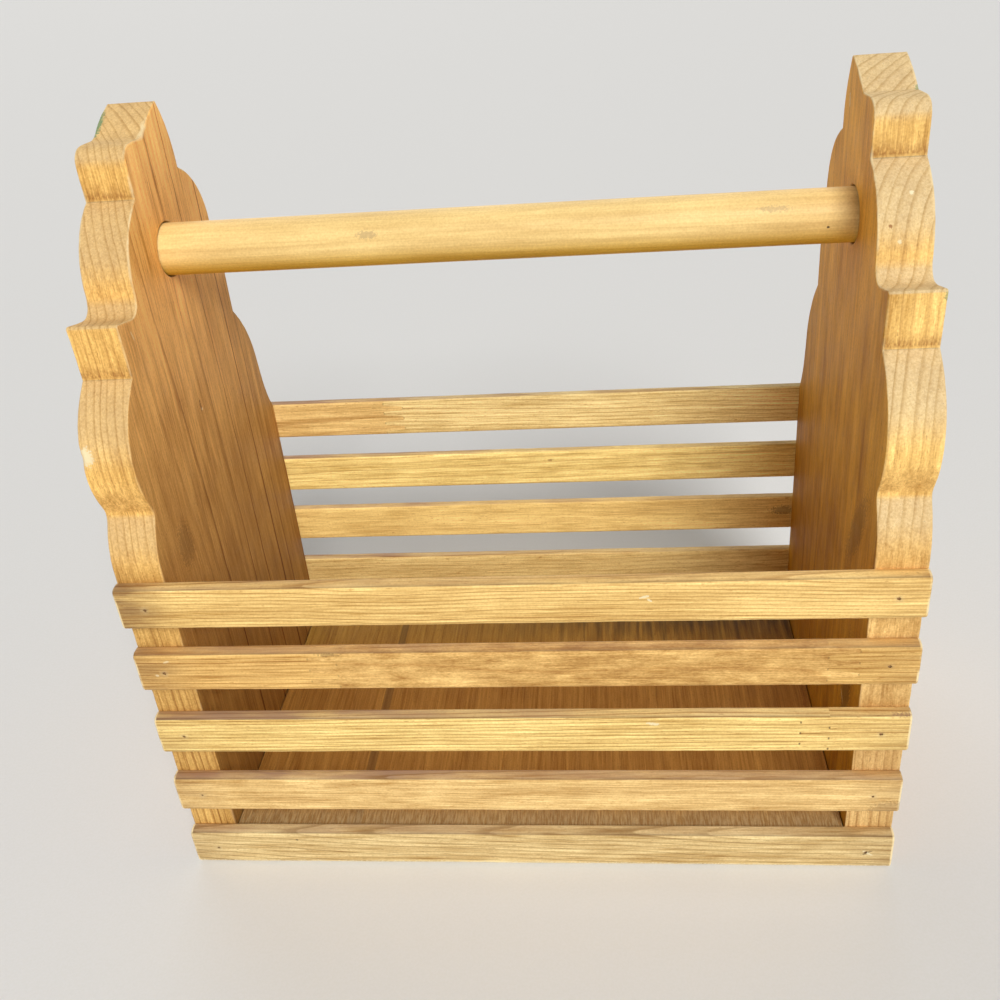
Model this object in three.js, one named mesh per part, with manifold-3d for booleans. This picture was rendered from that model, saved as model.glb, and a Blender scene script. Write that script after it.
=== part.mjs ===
// Slatted wooden carrier crate: two scalloped pine end boards, five slats nailed across the front and five
// across the back, a plywood bottom between the boards, and a dowel handle seated in blind sockets.
// Millimetres. +Z is up, +X runs along the handle, and the crate's front faces -Y.
// The origin is on the floor, under the middle of the crate.

import * as THREE from 'three';
import { mergeVertices } from 'three/addons/utils/BufferGeometryUtils.js';
import Module from 'manifold-3d';

// Driving dimensions of the box

const CRATE_LENGTH = 300;
const BOARD_THICKNESS = 19;
const BOARD_DEPTH = 147;
const BOARD_HEIGHT = 312.4;

const SLAT_HEIGHT = 19.5;
const SLAT_THICKNESS = 5.5;
const SLAT_EDGE_RADIUS = 2.4;
// Open gaps between neighbouring slats, from the floor up. The slats are spaced by eye, so the sides differ.
const FRONT_GAPS = [13.5, 14.6, 14.7, 12];
const BACK_GAPS = [14.7, 13.4, 11.9, 12.7];

const PANEL_THICKNESS = 9.5;
const PANEL_UNDERSIDE = 8;
const PANEL_CLEARANCE = 0.4;

// Driving dimensions of the handle

const HANDLE_DIAMETER = 20.6;
const HANDLE_DROP = 53.7; // from the peak of the end boards down to the handle's axis
const HANDLE_END_CHAMFER = 0.8;
const SOCKET_DEPTH = 10;
const SOCKET_CLEARANCE = 0.5;

// Driving dimensions of the scalloped edges of an end board. Each climbs from a straight foot, step by step.
// reach is where a step ends, out from the board's centre line, and rise is how much higher that is.
// bulge is how far the step's arc stands off its chord, outwards where it is positive.

const FRONT_SHOULDER = { reach: 67.6, rise: 18.8, bulge: 1.3 };
const FRONT_NECK = { reach: 67.4, rise: 5.4, bulge: -0.9 };
const FRONT_LARGE_LOBE = { reach: 55.3, rise: 47.8, bulge: 9.8 };
const FRONT_LOWER_RISER = { reach: 56, rise: 21.3, bulge: 0 };
const FRONT_SHELF = { reach: 43, rise: -3.2, bulge: 0 };
const FRONT_FILLET = { reach: 37.2, rise: 5.9, bulge: -1.8 };
const FRONT_SMALL_LOBE = { reach: 18.6, rise: 31, bulge: 5.5 };
const FRONT_UPPER_RISER = { reach: 18.9, rise: 13, bulge: 0 };
const FRONT_TOP_CORNER = { reach: 13.3, rise: 6.4, bulge: 1.6 };
const FRONT_FLAT_TOP = { reach: 0.9, rise: -0.7, bulge: 0 };
const FRONT_EDGE = [
  FRONT_SHOULDER, FRONT_NECK, FRONT_LARGE_LOBE, FRONT_LOWER_RISER, FRONT_SHELF, FRONT_FILLET,
  FRONT_SMALL_LOBE, FRONT_UPPER_RISER, FRONT_TOP_CORNER, FRONT_FLAT_TOP,
];

const BACK_SHOULDER = { reach: 66, rise: 24.5, bulge: -1.5 };
const BACK_SHALLOW_LOBE = { reach: 49.3, rise: 37.5, bulge: 4 };
const BACK_RISER = { reach: 49.5, rise: 28, bulge: 0 };
const BACK_SHELF = { reach: 46.2, rise: -0.8, bulge: 0 };
const BACK_FILLET = { reach: 43.2, rise: 4.8, bulge: -1.2 };
const BACK_LARGE_LOBE = { reach: 25.4, rise: 40.7, bulge: 9.4 };
const BACK_CREST = { reach: 18.3, rise: 27.7, bulge: 2.2 };
const BACK_EDGE = [
  BACK_SHOULDER, BACK_SHALLOW_LOBE, BACK_RISER, BACK_SHELF, BACK_FILLET, BACK_LARGE_LOBE, BACK_CREST,
];

// The front of the crest runs from the flat top up to the peak, where the back edge ends too.
const CREST = { rise: 9.7, bulge: 1 };

// Driving dimensions of the fasteners

const BRAD = { headRadius: 1.1, headDepth: 0.8, shankRadius: 0.65, length: 24, point: 2.5, sunk: 0.6 };
const PANEL_NAIL = { headRadius: 1.5, headDepth: 1.2, shankRadius: 0.95, length: 42, point: 3.5, sunk: 0.8 };
const HANDLE_NAIL = { headRadius: 1.7, headDepth: 1.4, shankRadius: 1.1, length: 40, point: 4, sunk: 0.8 };
const NAIL_CLEARANCE = 0.3;
const BRAD_INSET = 11; // from a slat's end to its brad
const PANEL_NAIL_COUNT = 3; // along each end of the panel
const PANEL_NAIL_SPACING = 48;

// Facets

const ARC_STEP = THREE.MathUtils.degToRad(9);
const CORNER_SEGMENTS = 5;
const HANDLE_SEGMENTS = 40;
const NAIL_SEGMENTS = 8;

// Worked out from the driving dimensions

const FOOT_REACH = BOARD_DEPTH / 2;
const OUTER_FACE = CRATE_LENGTH / 2;
const INNER_FACE = OUTER_FACE - BOARD_THICKNESS;
const SLAT_FACE = FOOT_REACH + SLAT_THICKNESS;
const BRAD_PLACE = OUTER_FACE - BRAD_INSET;
const HANDLE_HEIGHT = BOARD_HEIGHT - HANDLE_DROP;
const ENDS = [{ word: 'left', side: -1 }, { word: 'right', side: 1 }];
const FACES = [
  { word: 'front', side: -1, bottoms: slatBottoms(FRONT_GAPS) },
  { word: 'back', side: 1, bottoms: slatBottoms(BACK_GAPS) },
];

/** Heights of the slats' undersides on one side of the crate, the lowest standing on the floor. */
function slatBottoms(gaps) {
  return gaps.reduce((bottoms, gap) => [...bottoms, bottoms.at(-1) + SLAT_HEIGHT + gap], [0]);
}

const pine = (colour) => new THREE.MeshStandardMaterial({ color: colour, roughness: 0.62, metalness: 0 });
const steel = () => new THREE.MeshStandardMaterial({ color: 0x5d5750, roughness: 0.5, metalness: 0.85 });

// Cutting with manifold solids

const wasm = await Module();
wasm.setup();

/** A closed solid from a geometry, with shared corners and without triangles that collapse on an axis. */
function toSolid(geometry) {
  const bare = geometry.clone();
  bare.deleteAttribute('normal');
  bare.deleteAttribute('uv');
  const merged = mergeVertices(bare);
  const corners = merged.index.array;
  const kept = [];
  for (let i = 0; i < corners.length; i += 3) {
    const [a, b, c] = corners.subarray(i, i + 3);
    if (a !== b && b !== c && c !== a) {
      kept.push(a, b, c);
    }
  }
  const vertProperties = merged.attributes.position.array;
  const triVerts = Uint32Array.from(kept);
  return new wasm.Manifold(new wasm.Mesh({ numProp: 3, vertProperties, triVerts }));
}

function toGeometry(solid) {
  const mesh = solid.getMesh();
  const geometry = new THREE.BufferGeometry();
  geometry.setAttribute('position', new THREE.BufferAttribute(mesh.vertProperties, 3));
  geometry.setIndex(new THREE.BufferAttribute(mesh.triVerts, 1));
  geometry.computeVertexNormals();
  return geometry;
}

/** The geometry of a piece that stands at `place`, less cutters that are given in the crate's frame. */
function cutAt(place, geometry, cutters) {
  let solid = toSolid(geometry);
  for (const cutter of cutters) {
    solid = solid.subtract(toSolid(cutter.clone().translate(-place.x, -place.y, -place.z)));
  }
  return toGeometry(solid);
}

function piece(name, geometry, material, place) {
  const mesh = new THREE.Mesh(geometry, material);
  mesh.name = name;
  mesh.position.copy(place);
  return mesh;
}

// Outlines

/** Points of an arc that stands `bulge` to the right of its chord, without the first point. */
function arcPoints(from, to, bulge) {
  if (bulge === 0) {
    return [to];
  }
  const chord = to.clone().sub(from);
  const half = chord.length() / 2;
  const sweep = 4 * Math.atan(bulge / half);
  const radius = half / Math.sin(sweep / 2);
  const right = new THREE.Vector2(chord.y, -chord.x).normalize();
  const centre = from.clone().lerp(to, 0.5).addScaledVector(right, bulge - radius);
  const count = Math.max(2, Math.ceil(Math.abs(sweep) / ARC_STEP));
  const turnTo = (i) => from.clone().rotateAround(centre, (sweep * (i + 1)) / count);
  return Array.from({ length: count }, (_, i) => turnTo(i));
}

/**
 * One edge of the board from the floor up to `top`, on the front (side -1) or the back (side 1).
 * The straight foot, which the slats are nailed to, takes what the scallops leave of the height.
 */
function edgePoints(steps, side, top) {
  const footTop = steps.reduce((height, step) => height - step.rise, top);
  const points = [new THREE.Vector2(side * FOOT_REACH, 0), new THREE.Vector2(side * FOOT_REACH, footTop)];
  for (const { reach, rise, bulge } of steps) {
    const from = points.at(-1);
    const to = new THREE.Vector2(side * reach, from.y + rise);
    points.push(...arcPoints(from, to, side * bulge));
  }
  return points;
}

/** Outline of an end board seen along X: depth across, height up. */
function boardOutline() {
  const front = edgePoints(FRONT_EDGE, -1, BOARD_HEIGHT - CREST.rise);
  const back = edgePoints(BACK_EDGE, 1, BOARD_HEIGHT);
  const crest = arcPoints(back.at(-1), front.at(-1), CREST.bulge).slice(0, -1);
  return new THREE.Shape([...back, ...crest, ...front.reverse()]);
}

/** Outline of a slat seen along X: flat on the side that meets the boards, with rounded outer edges. */
function slatOutline(side) {
  const r = SLAT_EDGE_RADIUS;
  const outline = new THREE.Shape();
  outline.moveTo(0, 0);
  outline.lineTo(SLAT_THICKNESS - r, 0);
  outline.absarc(SLAT_THICKNESS - r, r, r, -Math.PI / 2, 0, false);
  outline.absarc(SLAT_THICKNESS - r, SLAT_HEIGHT - r, r, 0, Math.PI / 2, false);
  outline.lineTo(0, SLAT_HEIGHT);
  return new THREE.Shape(outline.getPoints(CORNER_SEGMENTS).map((point) => point.setX(side * point.x)));
}

/** An outline in depth and height, drawn out along X from 0. */
function alongX(outline, length) {
  const turn = new THREE.Matrix4().makeBasis(
    new THREE.Vector3(0, 1, 0), new THREE.Vector3(0, 0, 1), new THREE.Vector3(1, 0, 0));
  return new THREE.ExtrudeGeometry(outline, { depth: length, bevelEnabled: false }).applyMatrix4(turn);
}

/** A turned solid whose axis is +X, from [distance along the axis, radius] pairs. */
function turned(profile, segments) {
  const points = profile.map(([along, radius]) => new THREE.Vector2(radius, along));
  return new THREE.LatheGeometry(points, segments).rotateZ(-Math.PI / 2);
}

// Fasteners: each has a nail driven from its face, and the hole that it takes in the pieces it goes through

const NAIL_TURNS = { '+X': 0, '-X': Math.PI, '+Y': Math.PI / 2, '-Y': -Math.PI / 2 };

function fastener(name, size, place, direction) {
  const { headRadius, headDepth, shankRadius, length, point, sunk } = size;
  const neck = sunk + headDepth;
  const nail = turned([
    [sunk, 0], [sunk, headRadius], [neck, headRadius],
    [neck, shankRadius], [length - point, shankRadius], [length, 0],
  ], NAIL_SEGMENTS);
  const gap = NAIL_CLEARANCE;
  const mouth = -headRadius;
  const hole = turned([
    [mouth, 0], [mouth, headRadius + gap], [neck + gap, headRadius + gap],
    [neck + gap, shankRadius + gap], [length + gap, shankRadius + gap], [length + gap, 0],
  ], NAIL_SEGMENTS);
  const turn = NAIL_TURNS[direction];
  return {
    mesh: piece(name, nail.rotateZ(turn), steel(), place),
    hole: hole.rotateZ(turn).translate(place.x, place.y, place.z),
  };
}

/** Brads through the ends of every slat, into the edges of the boards. */
function slatBrads() {
  const brads = [];
  for (const face of FACES) {
    for (const end of ENDS) {
      face.bottoms.forEach((bottom, row) => {
        const height = bottom + SLAT_HEIGHT / 2;
        const place = new THREE.Vector3(end.side * BRAD_PLACE, face.side * SLAT_FACE, height);
        const name = `brad_${face.word}_${end.word}_${row + 1}`;
        brads.push({ face, end, row, ...fastener(name, BRAD, place, face.side < 0 ? '+Y' : '-Y') });
      });
    }
  }
  return brads;
}

/** Nails through the boards into the ends of the bottom panel. */
function panelNails() {
  const height = PANEL_UNDERSIDE + PANEL_THICKNESS / 2;
  return ENDS.flatMap((end) => Array.from({ length: PANEL_NAIL_COUNT }, (_, i) => {
    const depth = (i - (PANEL_NAIL_COUNT - 1) / 2) * PANEL_NAIL_SPACING;
    const place = new THREE.Vector3(end.side * OUTER_FACE, depth, height);
    const name = `panel_nail_${end.word}_${i + 1}`;
    return { end, ...fastener(name, PANEL_NAIL, place, end.side < 0 ? '+X' : '-X') };
  }));
}

/** One nail through each board into the end of the handle. */
function handleNails() {
  return ENDS.map((end) => {
    const place = new THREE.Vector3(end.side * OUTER_FACE, 0, HANDLE_HEIGHT);
    return { end, ...fastener(`handle_nail_${end.word}`, HANDLE_NAIL, place, end.side < 0 ? '+X' : '-X') };
  });
}

const brads = slatBrads();
const bottomNails = panelNails();
const gripNails = handleNails();
const holesOf = (fasteners) => fasteners.map((each) => each.hole);

// Wooden pieces

/** A scalloped end board, with a blind socket for the handle in its inner face. */
function endBoard(end) {
  const place = new THREE.Vector3(end.side < 0 ? -OUTER_FACE : INNER_FACE, 0, 0);
  const radius = HANDLE_DIAMETER / 2 + SOCKET_CLEARANCE;
  const floor = INNER_FACE + SOCKET_DEPTH;
  const mouth = INNER_FACE - SOCKET_DEPTH;
  const socket = turned([[mouth, 0], [mouth, radius], [floor, radius], [floor, 0]], HANDLE_SEGMENTS);
  socket.rotateZ(end.side < 0 ? Math.PI : 0).translate(0, 0, HANDLE_HEIGHT);
  const nails = [...brads, ...bottomNails, ...gripNails].filter((nail) => nail.end === end);
  const geometry = cutAt(place, alongX(boardOutline(), BOARD_THICKNESS), [socket, ...holesOf(nails)]);
  return piece(`end_board_${end.word}`, geometry, pine(0xb98343), place);
}

/** A slat as long as the crate, flush with the outer faces of the boards. */
function slat(face, row) {
  const place = new THREE.Vector3(-OUTER_FACE, face.side * FOOT_REACH, face.bottoms[row]);
  const nails = brads.filter((brad) => brad.face === face && brad.row === row);
  const geometry = cutAt(place, alongX(slatOutline(face.side), CRATE_LENGTH), holesOf(nails));
  return piece(`${face.word}_slat_${row + 1}`, geometry, pine(0xcf9f58), place);
}

function bottomPanel() {
  const length = 2 * (INNER_FACE - PANEL_CLEARANCE);
  const depth = 2 * (FOOT_REACH - PANEL_CLEARANCE);
  const place = new THREE.Vector3(0, 0, PANEL_UNDERSIDE + PANEL_THICKNESS / 2);
  const geometry = cutAt(place, new THREE.BoxGeometry(length, depth, PANEL_THICKNESS), holesOf(bottomNails));
  return piece('bottom_panel', geometry, pine(0x9c6c3a), place);
}

function handleDowel() {
  const end = INNER_FACE + SOCKET_DEPTH - SOCKET_CLEARANCE;
  const radius = HANDLE_DIAMETER / 2;
  const shoulder = end - HANDLE_END_CHAMFER;
  const place = new THREE.Vector3(0, 0, HANDLE_HEIGHT);
  const dowel = turned([
    [-end, 0], [-end, radius - HANDLE_END_CHAMFER], [-shoulder, radius],
    [shoulder, radius], [end, radius - HANDLE_END_CHAMFER], [end, 0],
  ], HANDLE_SEGMENTS);
  return piece('handle_dowel', cutAt(place, dowel, holesOf(gripNails)), pine(0xdcb26a), place);
}

const crate = new THREE.Group();
crate.add(...ENDS.map(endBoard));
crate.add(...FACES.flatMap((face) => face.bottoms.map((_, row) => slat(face, row))));
crate.add(bottomPanel(), handleDowel());
crate.add(...[...brads, ...bottomNails, ...gripNails].map((nail) => nail.mesh));

export default crate;
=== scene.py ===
# %% [markdown]
# # A slatted apple carrier in worn pine
# The crate is nailed together from sawn pine: two tall end boards with scalloped edges, five slats along
# the front and five along the back, a plywood bottom, and a dowel to carry it by.
# The imported model gives every piece its size and place. This lesson adds what it leaves out: growth rings
# and raised fibres, worn corners, sunk nail heads and the dirt of years of use, with some shade and
# highlights painted into the wood.

# %% Load the imported crate
import math
from collections import namedtuple

import bmesh
import bpy
import numpy as np
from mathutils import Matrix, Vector, geometry, noise


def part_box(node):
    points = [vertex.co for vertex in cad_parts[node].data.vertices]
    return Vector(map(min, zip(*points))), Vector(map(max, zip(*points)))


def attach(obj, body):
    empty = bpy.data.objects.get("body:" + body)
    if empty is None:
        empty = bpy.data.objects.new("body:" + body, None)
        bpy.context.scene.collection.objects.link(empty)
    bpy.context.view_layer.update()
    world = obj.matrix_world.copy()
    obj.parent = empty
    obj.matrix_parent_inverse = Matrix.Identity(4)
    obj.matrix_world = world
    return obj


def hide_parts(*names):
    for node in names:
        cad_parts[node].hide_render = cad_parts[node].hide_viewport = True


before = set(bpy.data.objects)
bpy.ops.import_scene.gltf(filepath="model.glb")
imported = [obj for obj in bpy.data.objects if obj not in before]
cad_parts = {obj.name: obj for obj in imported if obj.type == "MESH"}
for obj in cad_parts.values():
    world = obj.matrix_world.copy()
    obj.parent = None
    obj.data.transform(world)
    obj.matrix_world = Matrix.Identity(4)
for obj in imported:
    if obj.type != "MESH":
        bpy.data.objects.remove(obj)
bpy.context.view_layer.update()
MM = 0.001

# %% [markdown]
# ## The camera
# A photographer stood close in front of the crate, a little to the right, and looked down into it.
# A camera can be aimed by a constraint or by its own turns. Turns are chosen, because a hand-held picture
# also leans a little to one side. The lens shift keeps the verticals as a picture cut to a square has them.

# %% Camera
CAMERA_PLACE = (39.96, -370.29, 378.80)
CAMERA_TURNS = (62.013, 4.281, 3.884)
CAMERA_LENS = 36.326
CAMERA_SHIFT = (-0.015, -0.09)


def add_object(name, data):
    """Puts new data into the scene as an object."""
    made = bpy.data.objects.new(name, data)
    bpy.context.scene.collection.objects.link(made)
    return made


camera = add_object("camera", bpy.data.cameras.new("camera"))
camera.location = Vector(CAMERA_PLACE) * MM
camera.rotation_euler = [math.radians(turn) for turn in CAMERA_TURNS]
camera.data.lens = CAMERA_LENS
camera.data.shift_x, camera.data.shift_y = CAMERA_SHIFT
camera.data.clip_start = 0.01
bpy.context.scene.camera = camera
bpy.context.scene.view_settings.view_transform = "Standard"
print("camera", round(camera.location.length, 3), "m from the crate's foot")

# %% [markdown]
# ## Arithmetic on sockets
# Every finish below is a net of shader nodes. Nodes can be placed one by one, but wood needs dozens, and
# the idea is lost among them. A small class wraps one output socket, so that the finish reads as arithmetic:
# `1 - mask` adds a Math node, and `colour * shade` adds a Vector Math node, because Math turns colours grey.

# %% A socket that does arithmetic
ALONG = (1.0, 0.0, 0.0)
BACK = (0.0, 1.0, 0.0)
UP = (0.0, 0.0, 1.0)


class Wire:
    """One output socket of a node tree."""

    def __init__(self, socket):
        self.socket = socket

    def node(self, kind, settings=None, sockets=None, output=0):
        """Adds any node: its settings first, then values or wires for its sockets."""
        tree = self.socket.id_data
        made = tree.nodes.new(kind)
        for key, value in (settings or {}).items():
            setattr(made, key, value)
        for key, value in (sockets or {}).items():
            if isinstance(value, Wire):
                tree.links.new(value.socket, made.inputs[key])
            elif made.inputs[key].type == "RGBA":
                made.inputs[key].default_value = (*value, 1.0)
            else:
                made.inputs[key].default_value = value
        return Wire(made.outputs[output]) if made.outputs else None

    @property
    def is_vector(self):
        return self.socket.type in {"VECTOR", "RGBA"}

    def maths(self, operation, *others):
        return self.node("ShaderNodeMath", {"operation": operation}, dict(enumerate((self, *others))))

    def vector(self, operation, *others, output=0):
        spread = [other if isinstance(other, (Wire, tuple)) else (other,) * 3 for other in others]
        settings = {"operation": operation}
        return self.node("ShaderNodeVectorMath", settings, dict(enumerate((self, *spread))), output)

    def pair(self, operation, other):
        vectors = self.is_vector or isinstance(other, tuple) or isinstance(other, Wire) and other.is_vector
        return self.vector(operation, other) if vectors else self.maths(operation, other)

    def __add__(self, other):
        return self.pair("ADD", other)

    def __sub__(self, other):
        return self.pair("SUBTRACT", other)

    def __mul__(self, other):
        if self.is_vector and isinstance(other, Wire) and not other.is_vector:
            return self.node("ShaderNodeVectorMath", {"operation": "SCALE"}, {0: self, "Scale": other})
        if isinstance(other, Wire) and other.is_vector and not self.is_vector:
            return other * self
        return self.pair("MULTIPLY", other)

    __radd__ = __add__
    __rmul__ = __mul__

    def __rsub__(self, other):
        return self * -1.0 + other

    def __truediv__(self, number):
        return self * (1.0 / number)

    def smooth(self, low, high):
        """0 below low, 1 above high, and a soft step between."""
        settings = {"interpolation_type": "SMOOTHSTEP"}
        return self.node("ShaderNodeMapRange", settings, {0: self, 1: low, 2: high, 3: 0.0, 4: 1.0})

    def mix(self, none, full):
        """A colour that runs from none to full as this mask goes from 0 to 1."""
        return self.node("ShaderNodeMix", {"data_type": "RGBA"}, {0: self, 6: none, 7: full}, 2)

    def noise(self, scale, detail=2.0, output=0):
        """Cloudy noise read at this place."""
        sockets = {"Vector": self, "Scale": scale, "Detail": detail}
        return self.node("ShaderNodeTexNoise", None, sockets, output)

    def length(self):
        return self.vector("LENGTH", output=1)

    def dot(self, direction):
        return self.vector("DOT_PRODUCT", direction, output=1)


def tint(red, green, blue):
    """A colour as read on screen, 0 to 255, turned into the linear values that shaders take."""
    parts = [value / 255.0 for value in (red, green, blue)]
    return tuple(part / 12.92 if part <= 0.04045 else ((part + 0.055) / 1.055) ** 2.4 for part in parts)


def new_material(name):
    """A bare material, and a wire that holds the place on the crate in millimetres."""
    material = bpy.data.materials.new(name)
    material.use_nodes = True
    material.node_tree.nodes.clear()
    coordinates = material.node_tree.nodes.new("ShaderNodeTexCoord")
    return material, Wire(coordinates.outputs["Object"]) / MM


def finish_material(place, colour, roughness, height, depth, constants):
    """Joins a finish to the surface: colour, roughness and a bump whose full height is depth millimetres."""
    sockets = {"Strength": 1.0, "Distance": depth * MM, "Height": height}
    bump = place.node("ShaderNodeBump", None, sockets)
    inputs = {"Base Color": colour, "Roughness": roughness, "Normal": bump, **constants}
    surface = place.node("ShaderNodeBsdfPrincipled", None, inputs)
    place.node("ShaderNodeOutputMaterial", None, {"Surface": surface})


print("middle grey in linear values:", [round(part, 3) for part in tint(128, 128, 128)])

# %% [markdown]
# ## Floor and light
# The crate stands on a pale studio floor. One broad soft light from the front, a little to the right and from
# well above, does most of the work: the slats' faces are bright, it reaches over the front slats to the back
# ones, and the insides of the end boards fall into warm shade. Lamps of a given size would light the near
# floor more than the far floor, so both lights are suns with a wide disc.
# A weak one behind and a dim sky keep the far sides readable. The sky is pale only to the camera and to
# mirror rays, which gives a pale background with no extra light on the wood.

# %% Floor, lights and sky
FLOOR_SIZE = 40.0
FLOOR_DROP = 0.0002
SKY_LIGHT = 0.22
SKY_COLOUR = (1.0, 0.985, 0.96)
BACKDROP_COLOUR = (0.86, 0.86, 0.85)
LIGHTS = {
    "key": {"side": (0.34, -1.0, 0.92), "spread": 26.0, "strength": 2.65},
    "behind": {"side": (-0.3, 1.0, 0.6), "spread": 60.0, "strength": 0.8},
}


def add_light(name, side, spread, strength):
    """A sun that shines from one side of the crate."""
    light = add_object(name, bpy.data.lights.new(name, "SUN"))
    light.rotation_euler = (-Vector(side)).to_track_quat("-Z", "Y").to_euler()
    light.data.angle = math.radians(spread)
    light.data.energy = strength


def floor_material():
    material, place = new_material("studio_floor")
    grit = place.noise(0.9)
    colour = grit.smooth(0.3, 0.7).mix(tint(226, 225, 222), tint(228, 227, 225))
    finish_material(place, colour, 0.85 + grit * 0.1, grit, 0.01, {"Specular IOR Level": 0.2})
    return material


def add_floor():
    half = FLOOR_SIZE / 2
    corners = [(x * half, y * half, -FLOOR_DROP) for x, y in ((-1, -1), (1, -1), (1, 1), (-1, 1))]
    mesh = bpy.data.meshes.new("studio_floor")
    mesh.from_pydata(corners, [], [(0, 1, 2, 3)])
    mesh.materials.append(floor_material())
    floor = add_object("studio_floor", mesh)


def add_sky():
    world = bpy.data.worlds.new("studio_sky")
    world.use_nodes = True
    world.node_tree.nodes.clear()
    path = world.node_tree.nodes.new("ShaderNodeLightPath")
    camera_ray = Wire(path.outputs["Is Camera Ray"])
    mirror_ray = Wire(path.outputs["Is Glossy Ray"])
    glass_ray = Wire(path.outputs["Is Transmission Ray"])
    seen = camera_ray.maths("MAXIMUM", mirror_ray).maths("MAXIMUM", glass_ray)
    light = seen.node("ShaderNodeBackground", None, {"Color": SKY_COLOUR, "Strength": SKY_LIGHT})
    pale = seen.node("ShaderNodeBackground", None, {"Color": BACKDROP_COLOUR, "Strength": 1.0})
    sky = seen.node("ShaderNodeMixShader", None, {0: seen, 1: light, 2: pale})
    sky.node("ShaderNodeOutputWorld", None, {"Surface": sky})
    bpy.context.scene.world = world


for light_name, light_facts in LIGHTS.items():
    add_light(light_name, **light_facts)
add_floor()
add_sky()
print("lights:", list(LIGHTS))

# %% [markdown]
# ## Pine, as a solid
# A painted grain slides over corners. Real wood is a solid: a trunk's growth rings run through the plank,
# and each sawn face cuts them at another angle. So the finish works out, for each point, how far it lies
# from the heart of its tree. That distance, counted in years, gives pale spring wood that darkens into
# summer wood and stops short. Edges, faces and ends then agree by themselves.

# %% Growth rings
GRAIN_AXES = {"x": 0, "y": 1, "z": 2}
SWAY_WIDTH = 42.0
TREMBLE_SIZE = (13.0, 4.0)
DRIFT_LENGTH = 11.0
SUMMER_END = 0.92
SUMMER_PEAK = (0.66, 0.9)
YEAR_STOP = (0.94, 1.0)


def stretched(place, look, long, short, detail=2.0, output=0):
    """Noise drawn out along the grain: features are long millimetres that way and short across it."""
    scale = [1.0 / short] * 3
    scale[GRAIN_AXES[look["grain"]]] = 1.0 / long
    shift = (look["seed"] * 7.31, look["seed"] * 3.17, look["seed"] * 5.93)
    sockets = {"Vector": place, "Location": shift, "Scale": scale}
    moved = place.node("ShaderNodeMapping", None, sockets)
    return moved.noise(1.0, detail, output)


def growth_lines(place, look):
    """Two masks: how dark the wood is at this time of its year, 0 to 1, and how strong that year is."""
    across = [1.0, 1.0, 1.0]
    across[GRAIN_AXES[look["grain"]]] = 0.0
    lean = [0.0, 0.0, 0.0]
    lean[GRAIN_AXES[look["grain"]]] = look["lean"]
    sway = (stretched(place, look, look["sway_length"], SWAY_WIDTH, 1.0, output=1) - 0.5) * look["sway"]
    tremble = (stretched(place, look, *TREMBLE_SIZE, output=1) - 0.5) * look["tremble"]
    radius = ((place + sway + tremble - look["pith"]) * tuple(across)).length() + place.dot(tuple(lean))
    sockets = {"W": radius / DRIFT_LENGTH, "Scale": 1.0}
    drift = radius.node("ShaderNodeTexNoise", {"noise_dimensions": "1D"}, sockets)
    year = radius / look["ring"] + drift * look["uneven"]
    season = year.maths("FRACT")
    summer = season.smooth(look["spring"], SUMMER_END) * 0.45 + season.smooth(*SUMMER_PEAK) * 0.55
    summer = summer * (1.0 - season.smooth(*YEAR_STOP))
    whole = year.maths("FLOOR")
    strength = whole.node("ShaderNodeTexWhiteNoise", {"noise_dimensions": "1D"}, {"W": whole})
    return summer, strength


print("grain can run along", list(GRAIN_AXES))

# %% [markdown]
# ## Wear, dirt and painted light on pine
# Old pine is never one colour. Fibres show as fine streaks, sawn ends are paler, greyer and speckled,
# arrises rub pale, dirt gathers in hollows, on rounded tops and at the slats' ends, and the saw scorched the
# wood where it came into a tight corner. Light and shade are painted in too: hollows, holes and brad wells
# are darkened by painted shade as well as dirt, arrises and the slats' rounded ends get a painted highlight
# with their wear, and the boards' insides, the edges behind the slats, the dowel's underside and the back of
# the bottom are shaded. The meshes below carry three marks for this, `worn_and_highlight`, `grime_and_shade`
# and `scorch`, and the finish breaks them up with noise, so that no edge looks painted on.
# A texture is noise of a given length along the grain and width across it, in millimetres, and some have
# more or less fine detail than usual. A step says where a change begins and ends: a place in millimetres,
# the slope of the surface, or a level of noise.

# %% Pine finish
RAW_WOOD = tint(250, 228, 178)
OLD_DIRT = tint(92, 66, 40)
END_BROWN = tint(212, 156, 84)
SCORCHED = tint(150, 92, 40)
TOP_DUST = tint(168, 132, 104)
SMUDGE = tint(130, 90, 54)
OUTER_TINT = (0.92, 0.9, 1.05)
DEEPEN = (1.0, 1.3, 1.75)
DEEPEST = 0.15
MARK_DEPTH = 2.5
MARK_RAGGED = 1.6
MOST_SMUDGE = 0.75
MOST_GRIME_AND_SHADE = 0.85
TEXTURES = {
    "fibre": (12.0, 0.38, 3.0), "thread": (60.0, 1.0), "streak": (85.0, 2.6), "blotch": (40.0, 12.0),
    "fleck": (3.2, 0.5, 1.0), "grains": (1.6, 0.45, 3.0), "clouds": (11.0, 4.0, 3.0),
    "torn": (2.6, 0.9, 3.0), "patch": (7.0, 4.0), "dust": (34.0, 5.0, 3.0), "smudge": (22.0, 3.0, 3.0),
}
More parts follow.
